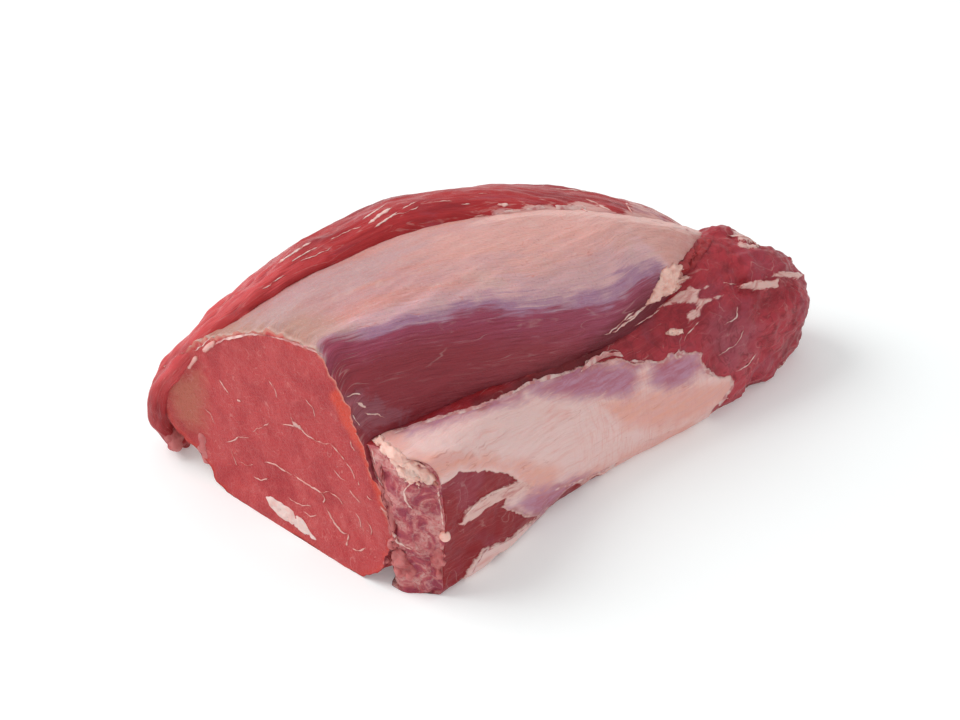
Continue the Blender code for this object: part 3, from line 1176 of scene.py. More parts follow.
@dataclass(frozen=True)
class WingCut:
    """The wing's small cut face: purple-red flesh in a mess of pale connective tissue."""

    flesh: Colour = (0.52, 0.105, 0.115)
    wine: Colour = (0.34, 0.052, 0.085)
    tissue: Colour = (0.70, 0.40, 0.37)
    crumb: Colour = (0.72, 0.50, 0.46)
    pit: Colour = (0.20, 0.015, 0.03)
    moist: Moisture = Moisture()

    def material(self) -> bpy.types.Material:
        """Mixes the flesh and the tissue between its bundles.

        Returns:
            The material.
        """
        g = Graph("wing cut")
        cloud = g.noise(g.space(7.0), 4.0, 0.6, 0.8)
        crumb = g.noise(g.space(1.1, 4.0), 4.0, 0.7)
        flesh = g.mix(self.wine, self.flesh, g.rise(cloud, 0.36, 0.56))
        web = g.threads(g.space(9.0, 2.0), 0.09, 1.6)
        flesh = g.mix(flesh, self.tissue, web * g.rise(crumb, 0.35, 0.60, 0.0, 0.45))
        tuft = g.rise(cloud, 0.46, 0.62) * g.rise(crumb, 0.30, 0.62, 0.2, 1.0)
        flesh = g.mix(flesh, self.tissue, tuft * 0.75)
        flesh = g.mix(flesh, self.crumb, g.rise(crumb, 0.62, 0.78, 0.0, 0.25))
        flesh = g.mix(flesh, self.pit, g.rise(crumb, 0.42, 0.26, 0.0, 0.6))
        height = crumb * 0.6 + web * 0.4
        normal = g.bump(height, 0.5)
        return g.finish(flesh, g.rise(crumb, 0.3, 0.7, 0.36, 0.52), normal, self.moist)


@dataclass(frozen=True)
class Fat:
    """Firm fat and white sinew, thinner and pinker at its edges."""

    name: str = "fat"
    white: Colour = (0.80, 0.56, 0.50)
    thin: Colour = (0.62, 0.22, 0.20)
    moist: Moisture = Moisture(depth_share=0.25, spread=(1.0, 0.45, 0.35), film=0.1)

    def material(self) -> bpy.types.Material:
        """Mixes the two by the body channel.

        Returns:
            The material.
        """
        g = Graph(self.name)
        cloud = g.noise(g.space(1.8), 4.0, 0.6)
        body = g.rise(g.channel("body") + g.swing(cloud, 0.45), 0.15, 0.8)
        colour = g.mix(self.thin, self.white, body)
        colour = g.mix(colour, self.thin, g.rise(g.noise(g.space(5.0, 3.0), 3.0), 0.52, 0.70, 0.0, 0.5))
        normal = g.bump(cloud, 0.35)
        return g.finish(colour, g.rise(cloud, 0.3, 0.7, 0.34, 0.50), normal, self.moist)


def swell(points: Array) -> Array:
    """How far the flesh lies off its smooth sections, across the grain.

    Args:
        points: the places in millimetres.

    Returns:
        The shift of each place.
    """
    settled = np.clip((points[..., 2] - FLOOR_Z) / SETTLED_HEIGHT, 0.0, 1.0)
    sideways = clouds(points, SWELL_CELL)
    places = points + np.array(SWELLS_APART) * np.array(SWELL_CELL)
    upwards = clouds(places, SWELL_CELL) * settled
    return np.stack((np.zeros_like(sideways), sideways, upwards), -1) * SWELL_DEPTH


@dataclass
class MainMuscle:
    """The thick round muscle, with the cut face at its near end."""

    sections: tuple[Lobe, ...] = (
        Lobe(CUT_FACE_X, (-47, 18), (-16, 75), (58, 26), (10, -8), (1.25, 1.55, 1.7, 3.0)),
        Lobe(-60, (-45, 24), (-14, 77), (58, 24), (8, -9), (1.7, 1.8, 2.4, 3.0)),
        Lobe(-20, (-46, 36), (-16, 76), (56, 22), (2, -9), (2.0, 1.9, 2.8, 2.6)),
        Lobe(20, (-48, 38), (-24, 70), (44, 21), (-8, -9), (2.1, 1.9, 2.7, 2.4)),
        Lobe(50, (-45, 34), (-32, 59), (22, 20), (-18, -8), (2.0, 1.9, 2.4, 2.2)),
        Lobe(72, (-42, 26), (-34, 46), (-6, 18), (-28, -2), (2.0, 2.0, 2.2, 2.0)),
    )
    shoulder: tuple[Point2, ...] = (
        (-100, -19), (-89, -19), (-69, -24), (-41, -32), (-16, -40), (9, -45), (35, -44)
    )
    band_swelling: tuple[Point2, ...] = ((-98, 1.0), (-40, 1.2), (-10, 2.0), (60, 2.2))
    toe: Patch = Patch(((168, 382), (198, 372), (204, 391), (202, 427), (186, 427), (171, 406)))
    low: Patch = Patch(((250, 470), (300, 480), (350, 500), (384, 500), (384, 560), (340, 560), (285, 520)))
    haze: Patch = Patch(((340, 396), (362, 390), (384, 402), (404, 412), (400, 424), (374, 432), (356, 424)))
    crease: Line = Line(((470, 408), (510, 393), (550, 376), (590, 357), (625, 330), (650, 306), (664, 292)))
    ash: Patch = Patch(((236, 322), (262, 300), (310, 272), (380, 246), (440, 230), (430, 250), (380, 276),
                        (320, 306), (280, 326), (250, 330)))
    fascia: Patch = Patch(((466, 226), (500, 211), (551, 204), (590, 204), (640, 212), (704, 229),
                           (700, 237), (640, 223), (590, 216), (540, 216), (500, 221)))
    strip: Line = Line(((337, 397), (346, 416), (361, 441), (371, 459), (380, 486), (387, 504)))
    far_shift: float = 2.8
    pale_nose: float = 18.0
    skin_rings: int = 170
    cap_rings: int = 80
    dome_rings: int = 8
    counts: tuple[int, int, int, int] = (60, 130, 130, 40)
    bulge: float = 8.0
    rim_bumps: Ripple = Ripple(5.0, 1.9, 3)
    rim_reach: float = 7.0
    toe_reach: float = 4.0
    foot_reach: float = 2.6
    fibres: Ripple = Ripple((30.0, 2.6, 2.6), 0.30)
    lumps: Ripple = Ripple(7.0, 0.22, shift=3.0)
    cut_waves: Ripple = Ripple(17.0, 0.8, shift=5.0)
    cut_grit: Ripple = Ripple(2.6, 0.16, shift=9.0)

    def surface(self) -> Surface:
        """Lofts the muscle and gives it its uneven flesh.

        Returns:
            The skin, with the channels that its finishes read.
        """
        skin = lobe_rings(self.sections, self.skin_rings, self.counts)
        cap = front_cap(skin[0], self.cap_rings)
        dome = far_dome(skin, self.dome_rings, self.bulge)
        made = Surface(np.concatenate((cap, skin, dome)), self.cap_rings)
        made.points = made.points + swell(made.points)
        behind = np.maximum(made.points[..., 0] - CUT_FACE_X, 0.0)
        toe = smooth(made.points[..., 1], 38.0, 56.0)
        made.points[..., 0] -= self.toe_reach * toe * np.exp(-behind / 6.0)
        foot = smooth(made.points[..., 2], 16.0, -4.0) * smooth(made.points[..., 1], 46.0, 30.0)
        made.points[..., 0] -= self.foot_reach * foot * np.exp(-behind / 8.0)
        self._ragged_rim(made)
        self._relief(made)
        made.settle(FLOOR_Z)
        self._channels(made)
        return made

    def _ragged_rim(self, made: Surface) -> None:
        """Gives the cut's rim small bumps that fade behind it and inwards.

        Args:
            made: the muscle's skin.
        """
        rim = made.points[self.cap_rings]
        bumps = self.rim_bumps.over(rim)
        outwards = made.normals[self.cap_rings + 2].copy()
        outwards[:, 0] = 0.0
        behind = made.points[..., 0] - CUT_FACE_X
        share = np.exp(-np.maximum(behind, 0.0) / self.rim_reach)
        inwards = np.linalg.norm(made.points - rim, axis=-1)
        share = np.where(made.on_cap > 0, np.exp(-inwards / (self.rim_reach * 0.4)), share)
        made.points = made.points + outwards * (bumps * share)[..., None]

    def _relief(self, made: Surface) -> None:
        """Raises fibres along the skin and uneven flesh on the cut face.

        Args:
            made: the muscle's skin.
        """
        fibres = self.fibres.over(made.points) + self.lumps.over(made.points)
        face = self.cut_waves.over(made.points) + self.cut_grit.over(made.points)
        near_rim = np.exp(-np.linalg.norm(made.points - made.points[self.cap_rings], axis=-1) / 1.6)
        made.lift(np.where(made.on_cap > 0, face * (1.0 - near_rim) - 0.35 * near_rim, fibres))

    def _channels(self, made: Surface) -> None:
        """Works out what the finishes read.

        Args:
            made: the muscle's skin.
        """
        points, normals = made.points, made.normals
        pixels = VIEW.pixels(points)
        inwards = np.linalg.norm(points - points[self.cap_rings], axis=-1)
        made.channels = {
            "across": self._above_shoulder(made),
            "cut": np.where(made.on_cap > 0, inwards, CUT_FACE_X - points[..., 0]),
            "toe": self.toe.depth(pixels),
            "low": self.low.depth(pixels),
            "strip": self.strip.gap(pixels),
            "haze": self.haze.depth(pixels),
            "crease": self.crease.gap(pixels),
            "ash": self.ash.depth(pixels),
            "fascia": self.fascia.depth(pixels),
            "top_rim": smooth(np.broadcast_to(normals[self.cap_rings + 3, :, 2], points.shape[:2]), 0.0, 0.5),
        }

    def _above_shoulder(self, made: Surface) -> Array:
        """How far round the muscle each place lies above the shoulder line, as the band of violet swells.

        Args:
            made: the muscle's skin, whose fibres then run beside the shoulder.

        Returns:
            The distances in the band's own millimetres, below 0 under the shoulder.
        """
        points = made.points
        knots, swelling = np.array(self.shoulder), np.array(self.band_swelling)
        girth = made.girth[:, :-1]
        first, last = self.counts[0], self.counts[0] + self.counts[1]
        height = np.interp(points[:, 0, 0], knots[:, 0], knots[:, 1])
        column = first + np.abs(points[:, first:last, 1] - height[:, None]).argmin(axis=1)
        start = np.take_along_axis(girth, column[:, None], axis=1)[:, 0]
        start[: self.cap_rings] = start[self.cap_rings]
        padded = np.pad(start, SMOOTHED_RINGS, mode="edge")
        start = np.convolve(padded, np.ones(2 * SMOOTHED_RINGS + 1) / (2 * SMOOTHED_RINGS + 1), "valid")
        made.ridge = start
        above = girth - start[:, None]
        band = above / np.interp(points[..., 0], swelling[:, 0], swelling[:, 1])
        band += self.far_shift * smooth(points[..., 0], -40.0, 0.0)
        return band + self.pale_nose * smooth(points[..., 0], 31.0, 50.0)

    def build(self) -> bpy.types.Object:
        """Builds and dresses the muscle."""
        materials = [MuscleSkin().material(), CutFlesh().material()]
        return self.surface().piece("main_muscle", materials)


@dataclass
class Strap:
    """The flat muscle that drapes over the main one's left back, with its tip hanging beside the cut face."""

    sections: tuple[Band, ...] = (
        Band((-96, 58, 1), 5, 3.5, 88, 40),
        Band((-97, 62.5, 10), 8, 4.5, 84, 35),
        Band((-95.5, 60, 24.5), 11, 5, 74, 20),
        Band((-88.5, 52, 36), 15, 6, 62, 8),
        Band((-74, 44, 46), 22, 9, 55, 3),
        Band((-50, 43, 47), 32, 13, 51, 0),
        Band((-15, 37, 46), 38, 17, 50, 0),
        Band((20, 20, 44), 37, 17.5, 48, 0),
        Band((45, 2, 40), 31, 16, 46, 0),
        Band((66, -15, 33), 22, 13, 42, 0),
        Band((80, -28, 27), 9, 7, 36, 0),
    )
    fascia: tuple[Patch, ...] = (
        Patch(((466, 224), (482, 219), (500, 210), (527, 205), (551, 203), (565, 207), (576, 202),
               (590, 203), (606, 208), (618, 212), (631, 211), (628, 199), (642, 205), (657, 212),
               (675, 220), (702, 229), (702, 240), (560, 240), (469, 240))),
    )
    fold_cell: float = 4.6
    fold_length: float = 60.0
    fold_depth: float = 1.5
    rings: int = 240
    around: int = 300
    dome_rings: int = 8
    bulge: float = 4.0
    lumps: Ripple = Ripple(8.0, 0.45, 3, 6.0)
    unseen: Ripple = Ripple((26.0, 9.0, 9.0), 9.0, shift=4.0)

    def surface(self) -> Surface:
        """Lofts the strap and gives it its fibres.

        Returns:
            The skin, with the channels that its finish reads.
        """
        body = band_rings(self.sections, self.rings, self.around)
        tip = far_dome(body[::-1], self.dome_rings, 1.6)[::-1]
        made = Surface(np.concatenate((tip, body, far_dome(body, self.dome_rings, self.bulge))))
        made.points = made.points + swell(made.points)
        middle = made.points.mean(axis=1, keepdims=True)
        length = np.cumsum(np.linalg.norm(np.diff(middle, axis=0, prepend=middle[:1]), axis=-1), axis=0)
        cell = self.fold_cell
        folds = clouds(made.points - middle + length[..., None] * (cell / self.fold_length), cell, 2, 3.0)
        depth = self.fold_depth * (0.35 + 0.65 * smooth(made.points[..., 0], -48.0, -80.0))
        made.lift(folds * depth + self.lumps.over(made.points))
        made.settle(FLOOR_Z + 0.3)
        # How deep each place lies in a fold's furrow, which the finish darkens as painted shade.
        self._channels(made, smooth(folds * depth, -0.15, -0.7))
        return made

    def _channels(self, made: Surface, furrow_shade: Array) -> None:
        """Works out what the finish reads.

        Args:
            made: the strap's skin.
            furrow_shade: how deep in a fold each place lies, from 0 to 1.
        """
        pixels = VIEW.pixels(made.points)
        seen = smooth(VIEW.facing(made.normals), -0.05, 0.12)
        wild = self.unseen.over(made.points) - 3.5
        painted = deepest(self.fascia, pixels)
        # Where painted light brightens the upper front of the strap's near end.
        front_painted_light = smooth(made.points[..., 0], -50.0, -76.0) * smooth(made.points[..., 2], 20.0, 34.0)
        made.channels = {
            "fascia": np.maximum(painted, -12.0) * seen + wild * (1.0 - seen),
            "front_painted_light": front_painted_light,
            "furrow_shade": furrow_shade,
        }

    def build(self) -> bpy.types.Object:
        """Builds and dresses the strap."""
        return self.surface().piece("strap", [StrapFlesh().material()])


@dataclass
class Wing:
    """The long muscle along the right side, under its silverskin, with the rounded lump at its far end."""

    sections: tuple[Lobe, ...] = (
        Lobe(-90, (-62, 22), (-48, 50), (-30, 28), (-48, -8), (4.0, 3.2, 3.0, 3.6)),
        Lobe(-65, (-62, 16), (-44, 48), (-30, 24), (-46, -9), (2.6, 2.4, 2.0, 3.0)),
        Lobe(-35, (-59, 14), (-43, 45), (-26, 20), (-42, -9), (1.8, 2.0, 2.0, 2.8)),
        Lobe(0, (-60, 14), (-42, 42), (-20, 18), (-40, -9), (1.8, 2.0, 2.0, 2.8)),
        Lobe(35, (-65, 15), (-43, 43), (-16, 20), (-40, -9), (2.0, 2.0, 2.0, 3.2)),
        Lobe(56, (-67, 18), (-42, 48), (-12, 24), (-38, -9), (2.2, 2.2, 2.0, 3.4)),
        Lobe(72, (-67, 19), (-39, 49), (-16, 24), (-40, -9), (2.3, 1.95, 1.8, 3.4)),
        Lobe(86, (-67, 20), (-46, 42), (-22, 22), (-40, -8), (2.5, 2.2, 2.0, 3.4)),
        Lobe(97, (-62, 18), (-48, 32), (-34, 19), (-42, -5), (2.2, 2.0, 2.0, 2.6)),
    )
    silverskin: Patch = Patch((
        (381, 435), (400, 429), (430, 419), (460, 411), (480, 405), (498, 398), (516, 389), (528, 382),
        (544, 378), (559, 373), (573, 369), (587, 364), (612, 358), (634, 362), (648, 360), (660, 362),
        (671, 353), (676, 357), (694, 351), (703, 353), (701, 364), (707, 373), (730, 377), (733, 387),
        (710, 412), (707, 417), (691, 430), (669, 442), (641, 455), (626, 461), (610, 469), (587, 480),
        (569, 487), (541, 497), (525, 492), (518, 481), (507, 474), (486, 470), (458, 473), (443, 481),
        (437, 492), (423, 476), (392, 462)
    ))
    foot: Patch = Patch(((462, 580), (470, 566), (482, 550), (511, 536), (537, 515), (541, 517), (517, 542),
                         (490, 560), (474, 584)))
    under: Patch = Patch(((506, 498), (520, 483), (579, 476), (570, 487), (541, 515), (524, 516), (500, 507)))
    bruises: tuple[Patch, ...] = (
        Patch(((528, 396), (533, 384), (560, 372), (600, 362), (632, 364), (640, 380), (628, 396),
               (580, 400))),
        Patch(((648, 384), (650, 364), (672, 354), (698, 352), (700, 366), (690, 384), (668, 392))),
        Patch(((400, 432), (430, 420), (470, 409), (520, 390), (526, 402), (480, 414), (440, 428),
               (410, 436))),
        Patch(((512, 508), (525, 492), (545, 486), (584, 472), (572, 492), (541, 520))),
    )
    peach: tuple[Patch, ...] = (
        Patch(((600, 404), (640, 392), (733, 380), (733, 392), (700, 412), (660, 428), (620, 424))),
        Patch(((541, 492), (610, 462), (690, 422), (694, 432), (610, 472), (545, 500))),
        Patch(((400, 460), (420, 455), (470, 455), (520, 460), (560, 470), (550, 494), (525, 490),
               (515, 478), (486, 468), (455, 470), (430, 478))),
        Patch(((381, 434), (400, 430), (404, 446), (394, 458))),
    )
    whites: tuple[Patch, ...] = (
        Patch(((519, 479), (531, 486), (516, 495), (502, 499), (488, 506), (476, 516), (462, 527),
               (457, 524), (468, 509), (482, 497), (498, 488))),
        Patch(((665, 333), (670, 329), (683, 329), (683, 333), (673, 335))),
        Patch(((737, 286), (756, 281), (778, 279), (778, 287), (759, 289), (740, 287))),
        Patch(((768, 276), (780, 272), (796, 272), (803, 275), (798, 279), (781, 276))),
        Patch(((736, 246), (740, 242), (759, 245), (756, 249), (739, 248))),
        Patch(((727, 229), (734, 227), (747, 235), (756, 243), (742, 241))),
        Patch(((653, 311), (670, 300), (690, 286), (698, 289), (709, 286), (700, 291), (698, 297),
               (711, 298), (724, 295), (712, 300), (704, 305), (697, 315), (691, 319), (687, 325),
               (686, 314), (697, 310), (698, 305), (684, 302), (673, 303), (660, 307))),
        Patch(((648, 303), (652, 289), (660, 280), (663, 270), (681, 265), (679, 276), (691, 277),
               (682, 283), (673, 293), (656, 300))),
    )
    plum: Patch = Patch(((698, 316), (722, 304), (748, 304), (760, 330), (752, 356), (730, 372), (706, 350)))
    crease: Line = Line(((480, 403), (510, 392), (550, 375), (590, 355), (625, 328), (650, 305), (664, 291)))
    heel: float = 6.8
    skin_rings: int = 230
    cap_rings: int = 34
    dome_rings: int = 10
    counts: tuple[int, int, int, int] = (90, 110, 80, 50)
    bulge: float = 5.0
    fibres: Ripple = Ripple((26.0, 2.4, 2.4), 0.28, shift=1.0)
    lumps: Ripple = Ripple(6.0, 0.30, shift=7.0)
    bare_flesh: Ripple = Ripple(4.0, 0.4, 3, 12.0)
    crags: Ripple = Ripple(12.0, 2.3, 4, 30.0)
    cut_mess: Ripple = Ripple(6.0, 1.3, 4, 20.0)
    torn_edge: Ripple = Ripple(6.0, 0.9, shift=2.0)
    frayed_edge: Ripple = Ripple(1.8, 0.5, shift=5.0)
    unseen: Ripple = Ripple((30.0, 12.0, 12.0), 10.0, shift=9.0)

    def surface(self) -> Surface:
        """Lofts the wing and gives it its fibres and the step at the silverskin's edge.

        Returns:
            The skin, with the channels that its finishes read.
        """
        skin = lobe_rings(self.sections, self.skin_rings, self.counts)
        cap = front_cap(skin[0], self.cap_rings)
        dome = far_dome(skin, self.dome_rings, self.bulge)
        made = Surface(np.concatenate((cap, skin, dome)), self.cap_rings)
        made.points = made.points + swell(made.points)
        behind = np.maximum(made.points[..., 0] - self.sections[0].x, 0.0)
        wall = -47.0 + 0.54 * np.maximum(made.points[..., 2] - 18.0, 0.0)
        inner = smooth(made.points[..., 1], -61.0, -49.0)
        inner = inner * (1.0 - smooth(made.points[..., 1] - wall, 1.0, 4.5))
        made.points[..., 0] -= self.heel * inner * np.exp(-behind / 6.0)
        self._channels(made)
        fibres = self.fibres.over(made.points) + self.lumps.over(made.points)
        flesh = self.bare_flesh.over(made.points)
        crags = self.crags.over(made.points) * smooth(made.points[..., 0], 36.0, 58.0)
        covered = smooth(np.maximum(made.channels["skin"], made.channels["white"]), -0.4, 0.4)
        mess = self.cut_mess.over(made.points) - 0.4
        bare = (1.0 - covered) * (flesh + crags)
        made.lift(np.where(made.on_cap > 0, mess, fibres + covered * 0.6 + bare))
        made.settle(FLOOR_Z + 0.15)
        return made

    def _channels(self, made: Surface) -> None:
        """Works out what the finishes read.

        Args:
            made: the wing's skin.
        """
        made.ridge = made.girth[:, self.counts[0] + self.counts[1]]
        made.ridge[: self.cap_rings] = made.ridge[self.cap_rings]
        pixels = VIEW.pixels(made.points)
        seen = smooth(VIEW.facing(made.normals), -0.05, 0.15)
        wild = self.unseen.over(made.points) - 1.0

        def told(patches: tuple[Patch, ...], shift: float) -> Array:
            """How deep in the patches a place lies where the camera sees it, and wild elsewhere."""
            return np.maximum(deepest(patches, pixels), -15.0) * seen + (wild + shift) * (1.0 - seen)

        torn = self.torn_edge.over(made.points) + self.frayed_edge.over(made.points)
        far = smooth(made.points[..., 0], -22.0, 12.0)
        made.channels = {
            "skin": told((self.silverskin, self.foot, self.under), 0.0) + torn,
            "violet": told(self.bruises, -3.0),
            "peach": told(self.peach, -5.0),
            "white": told(self.whites, -8.0) + torn * 0.7,
            "crossed": smooth(pixels[..., 0], 560.0, 600.0) * seen,
            "crease": self.crease.gap(pixels),
            # More of the brighter red low on the far lump: painted light on its lower side.
            "far": far * (0.60 + 0.40 * smooth(made.points[..., 2], 44.0, 18.0)),
            "plum": self.plum.depth(pixels),
        }

    def build(self) -> bpy.types.Object:
        """Builds and dresses the wing."""
        materials = [WingSkin().material(), WingCut().material()]
        return self.surface().piece("wing", materials)


@dataclass
class Carver:
    """Finds the flesh under the photograph's pixels, so that veins and fat lie on it."""

    pieces: list[bpy.types.Object]
    trees: list[BVHTree] = field(default_factory=list)

    def __post_init__(self) -> None:
        """Prepares the pieces for rays."""
        graph = bpy.context.evaluated_depsgraph_get()
        self.trees = [BVHTree.FromObject(piece, graph) for piece in self.pieces]

    def hit(self, pixel: Point2) -> tuple[Array, Array]:
        """The place on the flesh that a pixel shows, and the direction in which it faces.

        Args:
            pixel: the place in the photograph.

        Returns:
            The place in millimetres and its normal. Just outside the outline it is the nearest flesh.
        """
        eye = Vector((VIEW.eye + SHIFT) * MM)
        found = [tree.ray_cast(eye, VIEW.ray(pixel)) for tree in self.trees]
        found = [hit for hit in found if hit[0] is not None]
        if not found:
            beside = eye + VIEW.ray(pixel) * (VIEW.distance * MM)
            found = [tree.find_nearest(beside) for tree in self.trees]
        place, normal, _, _ = min(found, key=lambda hit: hit[3])
        return np.array(place) / MM - SHIFT, np.array(normal)

    def hits(self, pixels: Array) -> tuple[Array, Array]:
        """The places and normals of many pixels.

        Args:
            pixels: the pixels, along the last axis.

        Returns:
            The places, and the normals there.
        """
        found = [self.hit(tuple(pixel)) for pixel in pixels.reshape(-1, 2)]
        places, normals = (np.array(part).reshape(*pixels.shape[:-1], 3) for part in zip(*found))
        return places, normals

    def follow(self, course: tuple[Point2, ...], step: float = 0.6) -> tuple[Array, Array, Array]:
        """Places, directions and normals along a course, evenly spaced.

        Args:
            course: the course's pixels.
            step: the spacing in millimetres.

        Returns:
            The places, the normals there, and the directions to the course's left.
        """
        corners = np.array(course, float)
        count = max(int(lengths(corners)[-1] * VIEW.pixel / step), 5)
        places, normals = self.hits(spaced(corners, count))
        for _ in range(3):
            for row in (places, normals):
                row[1:-1] = (row[:-2] + row[1:-1] * 2 + row[2:]) / 4
        normals = unit(normals)
        return places, normals, unit(np.cross(normals, unit(np.gradient(places, axis=0))))


def tapered(count: int, steepness: float) -> Array:
    """How full something is along its length, from 0 at both ends to 1."""
    t = np.linspace(0.0, 1.0, count)
    return np.clip(np.minimum(t, 1.0 - t) * steepness, 0.0, 1.0)


@dataclass(frozen=True)
class Strand:
    """A vein or sinew on the flesh: its course in the photograph's pixels, and its size in millimetres."""

    course: tuple[Point2, ...]
    width: float = 0.8
    height: float = 0.25
    ragged: float = 1.0
    around: int = 10
    fray: Ripple = Ripple(1.8, 1.1, shift=3.0)
    wander: Ripple = Ripple(2.6, 0.5, 3, 8.0)

    def mesh(self, carver: Carver) -> bpy.types.Mesh:
        """A flat vein that lies half sunk along its course, ragged and tapered.

        Args:
            carver: finds the flesh.

        Returns:
            Its closed mesh.
        """
        places, normals, side = carver.follow(self.course)
        taper = tapered(len(places), 6.0) ** 0.6
        ragged = 1.0 + (self.fray.over(places) - 0.15) * self.ragged
        half = self.width / 2 * np.clip(ragged, 0.15, 1.9) * np.maximum(taper, 0.15)
        places = places + side * (self.wander.over(places) * self.ragged)[:, None]
        angle = np.linspace(0.0, 2 * math.pi, self.around, endpoint=False) - math.pi / 2
        wide = side[:, None] * (half[:, None] * np.cos(angle))[..., None]
        tall = normals[:, None] * ((self.height * taper)[:, None] * np.sin(angle))[..., None]
        body = np.maximum(np.sin(angle), 0.0)[None, :] * (taper * np.clip(ragged, 0.3, 1.0))[:, None]
        return Surface(places[:, None] + wide + tall, channels={"body": body}).mesh("vein")


@dataclass(frozen=True)
class Glob:
    """A lump of fat or flesh: its middle in the photograph's pixels, and its size in millimetres."""

    middle: Point2
    half_long: float
    half_wide: float
    half_tall: float
    turn: float = 0.0
    sunk: float = 0.3
    seed: float = 1.7

    def mesh(self, carver: Carver) -> bpy.types.Mesh:
        """An uneven lump that sits in the skin.

        Args:
            carver: finds the flesh.

        Returns:
            Its closed mesh, in the frame's metres.
        """
        place, normal = carver.hit(self.middle)
        up = Vector(normal)
        ahead = Vector((1.0, 0.0, 0.0))
        ahead = (ahead - up * ahead.dot(up)).normalized()
        ahead.rotate(Matrix.Rotation(math.radians(self.turn), 3, up))
        axes = Matrix((ahead, up.cross(ahead), up)).transposed().to_4x4()
        bm = bmesh.new()
        bmesh.ops.create_icosphere(bm, subdivisions=4, radius=1.0)
        body = bm.verts.layers.float.new("body")
        size = Vector((self.half_long, self.half_wide, self.half_tall))
        drift = Vector((self.seed, self.seed, 0.0))
        for vert in bm.verts:
            at = Vector(a * b for a, b in zip(vert.co, size))
            puff = noise.fractal(at / 3.4 + drift, 1.0, 2.0, 3) * 0.30
            vert[body] = 0.55 + vert.co.z * 0.35 + puff
            vert.co = Vector(a * b for a, b in zip(vert.co * (1.0 + puff), size))
        centre = Vector(place) - up * (self.half_tall * self.sunk) + Vector(SHIFT)
        matrix = Matrix.Scale(MM, 4) @ Matrix.Translation(centre) @ axes
        bmesh.ops.transform(bm, matrix=matrix, verts=bm.verts)
        mesh = bpy.data.meshes.new("lump")
        bm.to_mesh(mesh)
        bm.free()
        return mesh


@dataclass(frozen=True)
class Pad:
    """A low lump of fat or flesh: its outline in the photograph's pixels, and its size in millimetres."""

    outline: tuple[Point2, ...]
    height: float = 1.5
    edge: float = 2.0
    ragged: float = 1.0
    relaxed: int = 2
    rings: int = 16
    around: int = 84
    dimples: Ripple = Ripple(2.6, 0.7, 3, 5.0)

    def mesh(self, carver: Carver) -> bpy.types.Mesh:
        """A low lump over its outline, with a torn edge, closed under the skin.

        Args:
            carver: finds the flesh.

        Returns:
            Its closed mesh.
        """
        corners = np.array(self.outline, float)
        after = np.roll(corners, -1, axis=0)
        if np.sum(corners[:, 0] * after[:, 1] - after[:, 0] * corners[:, 1]) < 0.0:
            corners = corners[::-1]
        rim = spaced(np.concatenate((corners, corners[:1])), self.around, last=False)
        share = np.linspace(0.05, 1.06, self.rings)[:, None, None]
        pixels = rim.mean(axis=0) * (1.0 - share) + rim * share
        places, normals = carver.hits(pixels)
        for _ in range(self.relaxed * 4):
            for rows in (places, normals):
                sides = np.roll(rows, 1, axis=1) + np.roll(rows, -1, axis=1)
                rows[1:-1] = (rows[1:-1] * 2 + rows[:-2] + rows[2:] + sides[1:-1]) / 6
        normals = unit(normals)
        deep = Patch(self.outline).depth(pixels) + Ripple(3.0, self.ragged, 3, 2.0).over(places)
        full = np.sqrt(np.clip(deep / self.edge, 0.0, 1.0))
        lift = self.height * full * (0.85 + self.dimples.over(places)) - 0.4
        top = places + normals * lift[..., None]
        under = places[:1] - normals[:1] * 1.6
        body = np.concatenate((full, full[:1])) * 0.9 + 0.1
        return Surface(np.concatenate((top, under)), channels={"body": body}).mesh("pad")


@dataclass(frozen=True)
class Fringe:
    """A torn edge of membrane: its root in the photograph's pixels, and how far it reaches and lifts.

    It reaches to the left of its root's direction when reach is above 0, and to the right otherwise.
    """

    root: tuple[Point2, ...]
    reach: float = 2.0
    lift: float = 20.0
    curl: float = 30.0
    thick: float = 0.25
    tooth: float = 3.5
    across: int = 9
    sway: Ripple = Ripple(4.0, 25.0, shift=6.0)
    blotches: Ripple = Ripple(2.5, 0.7, shift=7.0)

    def mesh(self, carver: Carver) -> bpy.types.Mesh:
        """A thin torn flap of membrane that stands along its root.

        Args:
            carver: finds the flesh.

        Returns:
            Its closed mesh.
        """
        places, normals, side = carver.follow(self.root, 0.35)
        side = side * math.copysign(1.0, self.reach)
        taper = np.maximum(tapered(len(places), 8.0), 0.05)
        teeth = Ripple(self.tooth, 0.55, 3, 4.0)
        wide_teeth = Ripple(self.tooth * 3.0, 0.7, 1, 9.0)
        torn = 0.55 + teeth.over(places) + wide_teeth.over(places)
        reach = abs(self.reach) * np.clip(torn, 0.12, 1.4) * taper
        rise = np.radians(self.lift + self.sway.over(places))
        outward = np.linspace(0.0, 1.0, self.across)
        angle = rise[:, None] + np.radians(self.curl) * outward[None, :]
        step = reach[:, None] / (self.across - 1)
        root = np.zeros_like(step)
        out = np.concatenate((root, np.cumsum(np.cos(angle[:, 1:]) * step, axis=1)), axis=1) - 0.4
        up = np.concatenate((root, np.cumsum(np.sin(angle[:, 1:]) * step, axis=1)), axis=1) - 0.1
        sheet = places[:, None] + side[:, None] * out[..., None] + normals[:, None] * up[..., None]
        skyward = normals[:, None] * np.cos(angle)[..., None] - side[:, None] * np.sin(angle)[..., None]
        thinner = (1.0 - 0.6 * outward)[None, :, None] * np.maximum(taper, 0.3)[:, None, None]
        half = self.thick / 2 * thinner
        top, under = sheet + skyward * half, (sheet - skyward * half)[:, ::-1]
        loop = np.concatenate((under, top), axis=1)
        if self.reach < 0:
            loop = np.concatenate((top, under), axis=1)[:, ::-1]
        body = 0.45 + self.blotches.over(loop)
        return Surface(loop, channels={"body": body}).mesh("fringe")


